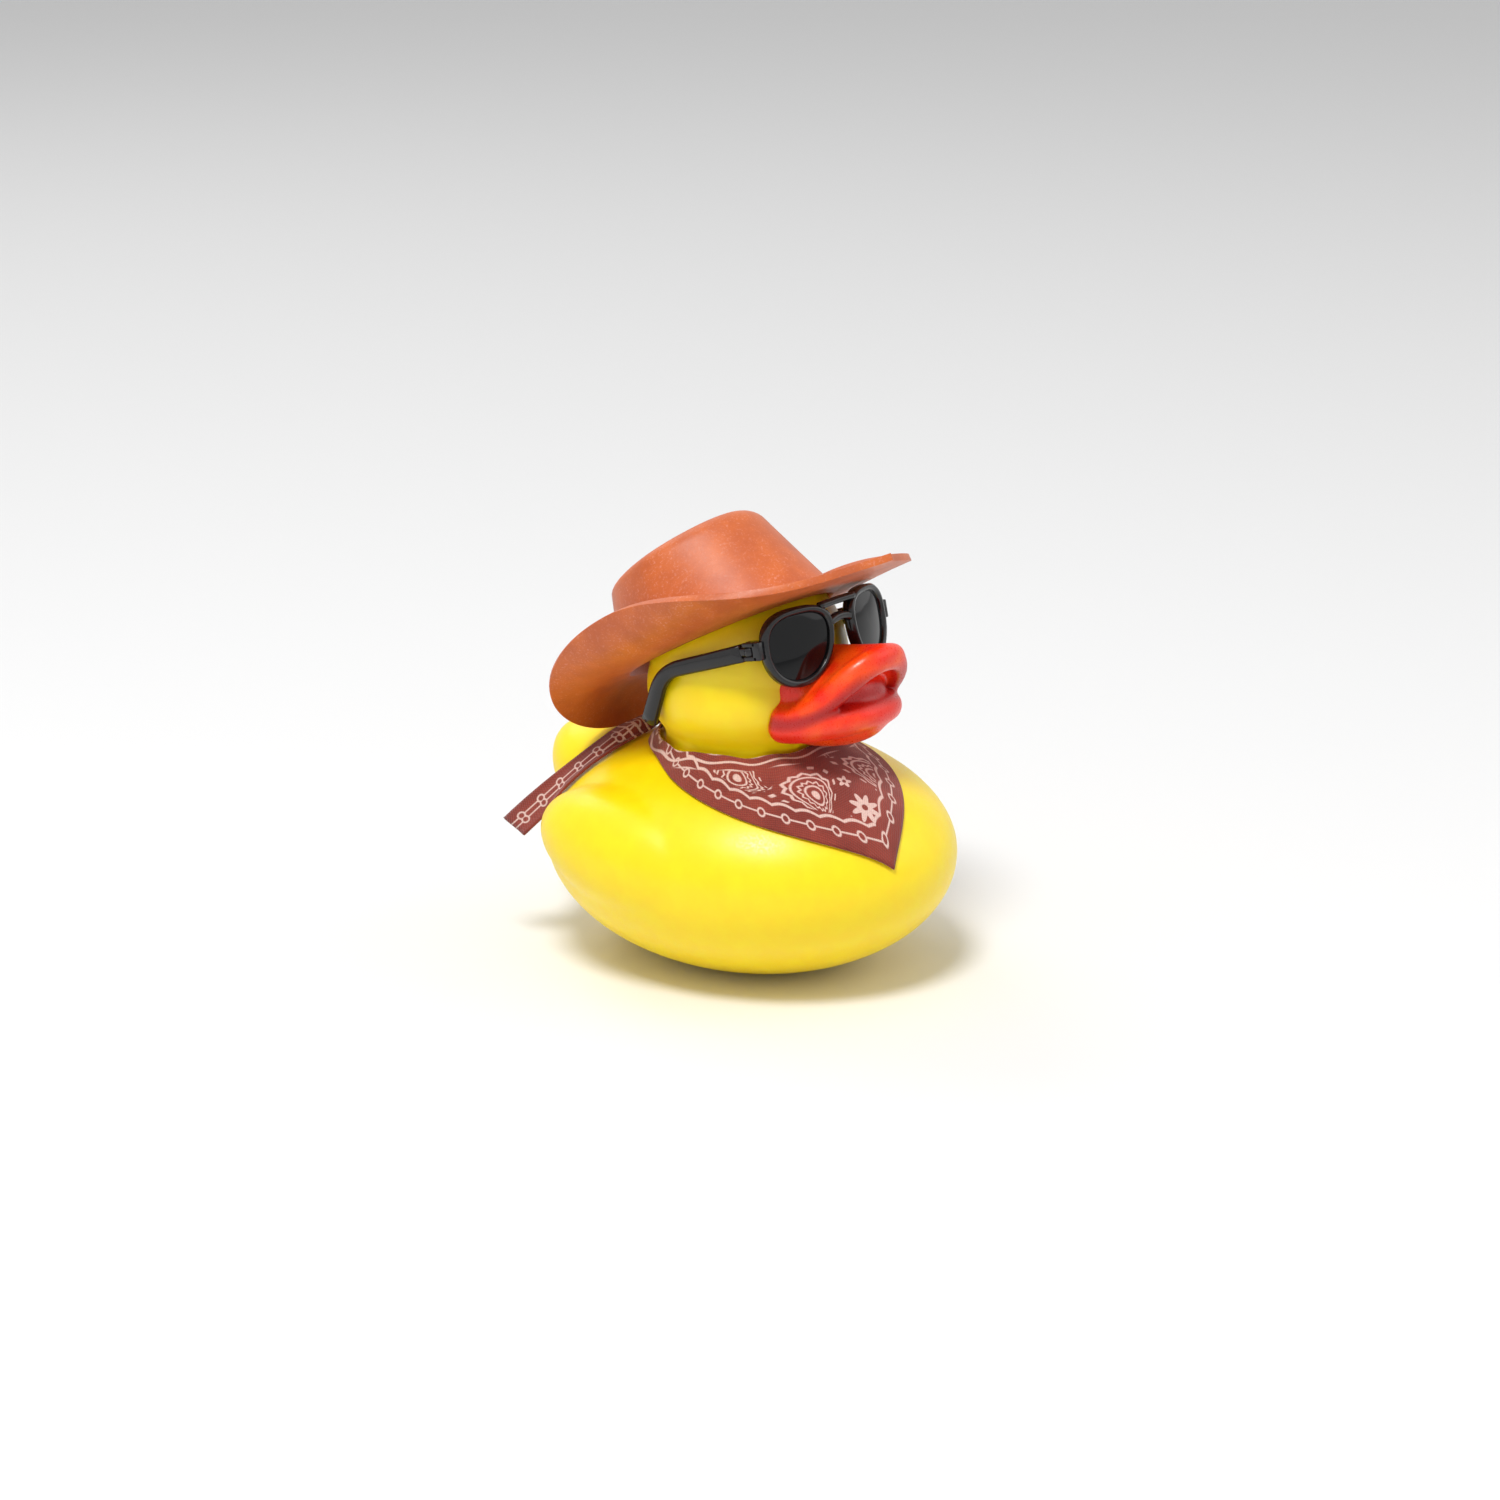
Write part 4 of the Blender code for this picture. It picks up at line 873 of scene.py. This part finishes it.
def temple_path(side):
    """The middle line of a temple from its hinge, sloping back and hooking down."""
    slope = TEMPLE_SLOPE - GLASSES_TILT
    back = Vector((0, math.cos(slope), -math.sin(slope)))
    start = TONGUE_RADIUS + 2 * FIT_GAP
    bend_start = TEMPLE_LENGTH - TEMPLE_HOOK_BEND
    straight = 8
    points = [back * (start + (bend_start - start) * step / straight) for step in range(straight + 1)]
    corner = back * TEMPLE_LENGTH
    end = corner + Vector((-side * TEMPLE_HOOK_IN, TEMPLE_HOOK_BACK, -TEMPLE_HOOK_DROP))
    leave = corner + (end - corner).normalized() * TEMPLE_HOOK_BEND
    points += curved([points[-1], corner, leave], 10)[1:]
    points += [leave.lerp(end, share) for share in (0.25, 0.5, 0.75, 0.93, 1.0)]
    for point in points:
        point.x += side * TEMPLE_SPLAY * smooth_share(point.y, start, TEMPLE_SPLAY_LENGTH)
    return points


def temple(side):
    """A temple with a rounded box section, its hinge tongue and a tapered, rounded end."""
    shape = bmesh.new()
    path = temple_path(side)
    ways = path_frames(path)
    last = len(path) - 1

    def ring(index):
        half_height = TEMPLE_HEIGHT / 2
        half_wide = TEMPLE_THICKNESS / 2
        share = index / last
        half_height *= 0.86 + 0.14 * abs(1 - 2 * share)
        if index == last:
            half_height *= 0.55
            half_wide *= 0.5
        up = Vector((1, 0, 0)).cross(ways[index]).normalized()
        cut = TEMPLE_CHAMFER
        outline = [(-half_wide, -half_height + cut), (-half_wide, half_height - cut),
                   (-half_wide + cut, half_height), (half_wide - cut, half_height),
                   (half_wide, half_height - cut), (half_wide, cut - half_height),
                   (half_wide - cut, -half_height), (-half_wide + cut, -half_height)]
        return [path[index] + Vector((x, 0, 0)) + up * z for x, z in outline]

    sweep(shape, path, ring)
    half_tongue = HINGE_SLOT / 2 - TONGUE_EASE
    tongue = [Vector((0, 0, share * half_tongue)) for share in (-1, -0.9, 0.9, 1)]
    add_tube(shape, tongue, [TONGUE_RADIUS * 0.92] + [TONGUE_RADIUS] * 2 + [TONGUE_RADIUS * 0.92],
             24, up=Vector((0, 1, 0)))
    add_block(shape, (-TEMPLE_THICKNESS / 2 + 0.05 * MM, 0, -half_tongue),
              (TEMPLE_THICKNESS / 2 - 0.05 * MM, TONGUE_RADIUS + TEMPLE_THICKNESS, half_tongue))
    bmesh.ops.recalc_face_normals(shape, faces=shape.faces)
    mesh = bpy.data.meshes.new("temple")
    shape.to_mesh(mesh)
    shape.free()
    mesh.transform(glasses_matrix() @ Matrix.Translation(hinge_point(side)))
    return mesh


def smooth_share(value, low, high):
    """Rises smoothly from 0 to 1 between two values."""
    share = min(1.0, max(0.0, (value - low) / (high - low)))
    return share * share * (3 - 2 * share)


def hem_reach(turn):
    """Distance of the bandana's hem from the neck's axis at an angle from its tip."""
    span, fall = (RIGHT_HEM_SPAN, RIGHT_HEM_FALL) if turn < 0 else (LEFT_HEM_SPAN, LEFT_HEM_FALL)
    return BAND_REACH + (TIP_REACH - BAND_REACH) * max(0.0, 1 - abs(turn) / span) ** fall


def body_height(across, along):
    """Height of the body's top over a point of the ground plane."""
    reach = (across / BODY_HALF_WIDTH) ** 2 + (along / BODY_HALF_LENGTH) ** 2
    return BODY_WAIST + BODY_ABOVE * math.sqrt(max(0.0, 1 - reach))


def knot_centre():
    """Where the knot sits, just above the body."""
    return Vector((0, KNOT_BACK, body_height(0, KNOT_BACK) + KNOT_HEIGHT / 2 + KNOT_LIFT))


def write_uvs(mesh, cloth, hem):
    """Stores both cloth coordinates of each vertex as UV maps."""
    for name, values in (("cloth", cloth), ("hem", hem)):
        layer = mesh.uv_layers.new(name=name)
        for loop in mesh.loops:
            layer.data[loop.index].uv = values[loop.vertex_index]


def fold_height(turn, share):
    """Soft folds that run out from the collar and fade towards the hem."""
    fade = (1 - share) ** 0.8
    rolls = 0.5 * math.sin(5 * turn + 1.0) + 0.35 * math.sin(9 * turn - 0.6)
    rolls += 0.25 * math.sin(14 * turn + 2.0)
    return FOLD_DEPTH * fade * (rolls + 0.6)


def drape(duck):
    """The collar and the front triangle, laid over the body with soft folds."""
    shape = bmesh.new()
    cloth = []
    hem = []
    grid = []
    walked = 0.0
    before = None
    for column in range(CLOTH_COLUMNS + 1):
        round_share = 2 * column / CLOTH_COLUMNS - 1
        turn = math.copysign(math.pi * abs(round_share) ** 1.3, round_share)
        heading = turn + TIP_TURN
        reach_out = hem_reach(turn)
        edge = Vector((reach_out * math.sin(turn), -reach_out * math.cos(turn)))
        if before is not None:
            walked += (edge - before).length
        before = edge
        ahead = math.copysign(HEM_SLOPE_STEP, turn)
        slant = reach_out / math.hypot(reach_out, (hem_reach(turn + ahead) - reach_out) / HEM_SLOPE_STEP)
        line = []
        for row in range(CLOTH_ROWS + 1):
            share = row / CLOTH_ROWS
            reach = COLLAR_RADIUS + (reach_out - COLLAR_RADIUS) * share
            across = reach * math.sin(heading)
            along = -reach * math.cos(heading)
            height = body_height(across, along) + CLOTH_GAP + COLLAR_LIFT * (1 - share) ** 2
            height += fold_height(turn, share)
            line.append(shape.verts.new((across, along, height)))
            flat_reach = reach * CLOTH_FALL
            flat = (flat_reach * math.sin(turn), flat_reach * math.cos(turn))
            cloth.append((flat[0] / CLOTH_UNIT, flat[1] / CLOTH_UNIT))
            hem.append((walked / CLOTH_UNIT, (reach_out - reach) * slant * CLOTH_FALL / CLOTH_UNIT))
        grid.append(line)
    for first, second in zip(grid, grid[1:]):
        for row in range(CLOTH_ROWS):
            shape.faces.new((first[row], first[row + 1], second[row + 1], second[row]))
    mesh = bpy.data.meshes.new("drape")
    shape.to_mesh(mesh)
    shape.free()
    write_uvs(mesh, cloth, hem)
    item = bpy.data.objects.new("drape", mesh)
    scene.collection.objects.link(item)
    wrap = item.modifiers.new("Shrinkwrap", "SHRINKWRAP")
    wrap.target = duck
    wrap.wrap_method = "NEAREST_SURFACEPOINT"
    wrap.wrap_mode = "OUTSIDE"
    wrap.offset = CLOTH_GAP
    shell = item.modifiers.new("Solidify", "SOLIDIFY")
    shell.thickness = CLOTH_THICKNESS
    shell.offset = 1.0
    bpy.context.view_layer.update()
    made = bpy.data.meshes.new_from_object(item.evaluated_get(bpy.context.evaluated_depsgraph_get()))
    bpy.data.objects.remove(item, do_unlink=True)
    return made


def tail_points(start, spread, back, drop, side):
    """A bandana tail's middle line, arching out of the knot and hanging off the body."""
    end = start + Vector((side * spread, back, -drop))
    lift = start + Vector((side * spread * TAIL_ARCH_OUT, back * TAIL_ARCH_BACK, -drop * TAIL_ARCH_DROP))
    points = curved([start, lift, end], TAIL_STEPS)
    for point in points:
        point.z = max(point.z, body_height(point.x, point.y) + CLOTH_GAP + CLOTH_THICKNESS)
    return points


def ribbon(points, facing, duck, offset):
    """A strip of cloth along points, cupped a little across its width."""
    ways = path_frames(points)
    columns = 12
    shape = bmesh.new()
    cloth = []
    hem = []
    grid = []
    last = len(points) - 1
    length = sum((second - first).length for first, second in zip(points, points[1:]))
    for index, point in enumerate(points):
        sideways = ways[index].cross(facing).normalized()
        out = sideways.cross(ways[index]).normalized()
        share = index / last
        half = TAIL_CLOTH_WIDTH / 2 * (0.55 + 0.45 * smooth_share(share, 0.0, 0.25))
        line = []
        for column in range(columns + 1):
            across = 2 * column / columns - 1
            cup = TAIL_CUP * (1 - share) * math.cos(math.pi * across)
            cup += TAIL_CUP / 2 * math.sin(6 * share + 2 * across)
            slant = ways[index] * (across * half * 0.45 * smooth_share(share, 0.7, 1.0))
            line.append(shape.verts.new(point + sideways * (across * half) + out * cup + slant))
            cloth.append((offset + share * length / CLOTH_UNIT, across * half / CLOTH_UNIT))
            hem.append((offset + share * length / CLOTH_UNIT, (1 - abs(across)) * half / CLOTH_UNIT))
        grid.append(line)
    for first, second in zip(grid, grid[1:]):
        for column in range(columns):
            shape.faces.new((first[column], first[column + 1], second[column + 1], second[column]))
    mesh = bpy.data.meshes.new("ribbon")
    shape.to_mesh(mesh)
    shape.free()
    write_uvs(mesh, cloth, hem)
    item = bpy.data.objects.new("ribbon", mesh)
    scene.collection.objects.link(item)
    wrap = item.modifiers.new("Shrinkwrap", "SHRINKWRAP")
    wrap.target = duck
    wrap.wrap_method = "NEAREST_SURFACEPOINT"
    wrap.wrap_mode = "OUTSIDE"
    wrap.offset = CLOTH_GAP + CLOTH_THICKNESS
    shell = item.modifiers.new("Solidify", "SOLIDIFY")
    shell.thickness = CLOTH_THICKNESS
    shell.offset = 0.0
    bpy.context.view_layer.update()
    made = bpy.data.meshes.new_from_object(item.evaluated_get(bpy.context.evaluated_depsgraph_get()))
    bpy.data.objects.remove(item, do_unlink=True)
    return made


def knot():
    """The knot: a rounded roll of cloth with wound folds."""
    shape = bmesh.new()
    centre = knot_centre()
    across_steps = 48
    around_steps = 48
    cloth = []
    grid = []
    for step in range(across_steps + 1):
        tilt = math.pi * (step / across_steps)
        line = []
        for count in range(around_steps):
            turn = 2 * math.pi * count / around_steps
            wound = 1 + 0.1 * math.sin(3 * turn + 5 * tilt) * math.sin(tilt)
            across = math.cos(tilt) * KNOT_LENGTH / 2
            radius = math.sin(tilt) ** 0.75 if 0 < step < across_steps else 0.02
            deep = math.cos(turn) * radius * wound * KNOT_DEPTH / 2
            high = math.sin(turn) * radius * wound * KNOT_HEIGHT / 2
            line.append(shape.verts.new(centre + Vector((across, deep, high))))
            cloth.append((across / CLOTH_UNIT + 3.1, turn * KNOT_HEIGHT / 2 / CLOTH_UNIT))
        grid.append(line)
    for first, second in zip(grid, grid[1:]):
        for count in range(around_steps):
            following = (count + 1) % around_steps
            shape.faces.new((first[count], second[count], second[following], first[following]))
    shape.faces.new(grid[0])
    shape.faces.new(list(reversed(grid[-1])))
    bmesh.ops.recalc_face_normals(shape, faces=shape.faces)
    mesh = bpy.data.meshes.new("knot")
    shape.to_mesh(mesh)
    shape.free()
    write_uvs(mesh, cloth, [(u, 0.6) for u, _ in cloth])
    return mesh


def joined(*meshes):
    """One mesh out of several, with their UV maps."""
    items = []
    for mesh in meshes:
        item = bpy.data.objects.new("join", mesh)
        scene.collection.objects.link(item)
        items.append(item)
    with bpy.context.temp_override(active_object=items[0], selected_editable_objects=items):
        bpy.ops.object.join()
    mesh = items[0].data
    bpy.data.objects.remove(items[0], do_unlink=True)
    return mesh


def build_object():
    """Builds the dressed duck on the frame."""
    skin_mesh = duck_skin()
    duck = bpy.data.objects.new("duck_target", skin_mesh.copy())
    scene.collection.objects.link(duck)
    cloth_mesh = drape(duck)
    strips = []
    for side, spread, back, drop in CLOTH_TAILS:
        start = knot_centre() + Vector((side * KNOT_TAIL_SIDE, 0, 0))
        facing = Vector((side * TAIL_FACING[0], TAIL_FACING[1], TAIL_FACING[2]))
        strips.append(ribbon(tail_points(start, spread, back, drop, side), facing, duck, 2.0 + side))
    bpy.data.objects.remove(duck, do_unlink=True)

    finished("duck_skin", skin_mesh, vinyl_material(), "duck_body")
    finished("duck_bill", bill(), bill_material(), "duck_body")
    finished("hat_shell", hat(), hat_material(), "cowboy_hat")
    finished("glasses_front", front(), black_material("black_front"), "glasses_frame")
    finished("smoked_lens_right", lens(-1), lens_material("lens_right_look"), "lens_right")
    finished("smoked_lens_left", lens(1), lens_material("lens_left_look"), "lens_left")
    for side, word in ((-1, "right"), (1, "left")):
        look = black_material("black_arm_" + word)
        finished("arm_" + word, temple(side), look, "temple_" + word, "temple_" + word)
    cloth_look = cloth_material()
    cloth = finished("bandana_cloth", cloth_mesh, cloth_look, "bandana")
    tails = finished("bandana_tails", joined(*strips), cloth_look, "bandana")
    knotted = finished("bandana_knot", knot(), cloth_look, "bandana")
    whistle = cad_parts["squeaker"]
    whistle.data.materials.clear()
    whistle.data.materials.append(whistle_material())


def stage_material(name, colour):
    """A plain pale matt surface."""
    look = Nodes(name)
    look.set(Base_Color=colour, Roughness=0.9)
    return look.made


def build_stage():
    """Floor, soft lamps, pale world and the camera of the photograph."""
    shape = bmesh.new()
    bmesh.ops.create_grid(shape, x_segments=1, y_segments=1, size=3.0)
    mesh = bpy.data.meshes.new("floor")
    shape.to_mesh(mesh)
    shape.free()
    mesh.materials.append(stage_material("floor_paint", srgb(236, 236, 236)))
    floor = bpy.data.objects.new("floor", mesh)
    scene.collection.objects.link(floor)

    target = Vector((0, -BODY_FORWARD, 0.033))
    lamps = (
        ("key", -70, 62, 0.9, 0.28, 5.9),
        ("fill", 40, 30, 1.2, 0.9, 1.6),
        ("rear", 165, 45, 1.1, 0.6, 1.8),
    )
    for name, azimuth, elevation, distance, size, power in lamps:
        lamp = bpy.data.lights.new(name, "AREA")
        lamp.shape = "DISK"
        lamp.size = size
        lamp.energy = power
        item = bpy.data.objects.new(name, lamp)
        scene.collection.objects.link(item)
        item.matrix_world = looking(target, azimuth, elevation, distance)

    world = bpy.data.worlds.new("pale")
    world.use_nodes = True
    scene.world = world
    tree = world.node_tree
    background = tree.nodes["Background"]
    path = tree.nodes.new("ShaderNodeLightPath")
    seen = tree.nodes.new("ShaderNodeMath")
    seen.operation = "MAXIMUM"
    tree.links.new(path.outputs["Is Camera Ray"], seen.inputs[0])
    tree.links.new(path.outputs["Is Glossy Ray"], seen.inputs[1])
    level = tree.nodes.new("ShaderNodeMapRange")
    level.inputs["To Min"].default_value = 0.5
    level.inputs["To Max"].default_value = 0.9
    tree.links.new(seen.outputs[0], level.inputs["Value"])
    background.inputs["Color"].default_value = (1, 1, 1, 1)
    tree.links.new(level.outputs["Result"], background.inputs["Strength"])

    camera = bpy.data.cameras.new("camera")
    camera.lens = 93.6
    camera.sensor_width = 36.0
    camera.shift_y = -2 / 1500
    camera.clip_start = 0.01
    item = bpy.data.objects.new("camera", camera)
    scene.collection.objects.link(item)
    item.matrix_world = looking(target, -52, 17, 0.6)
    scene.camera = item
    scene.view_settings.view_transform = "Standard"


def looking(target, azimuth, elevation, distance):
    """A matrix at a distance round a target that looks at it."""
    turn = math.radians(azimuth)
    rise = math.radians(elevation)
    away = Vector((math.sin(turn) * math.cos(rise), -math.cos(turn) * math.cos(rise), math.sin(rise)))
    place = target + away * distance
    return Matrix.Translation(place) @ (-away).to_track_quat("-Z", "Y").to_matrix().to_4x4()


build_object()
build_stage()
bpy.context.view_layer.update()
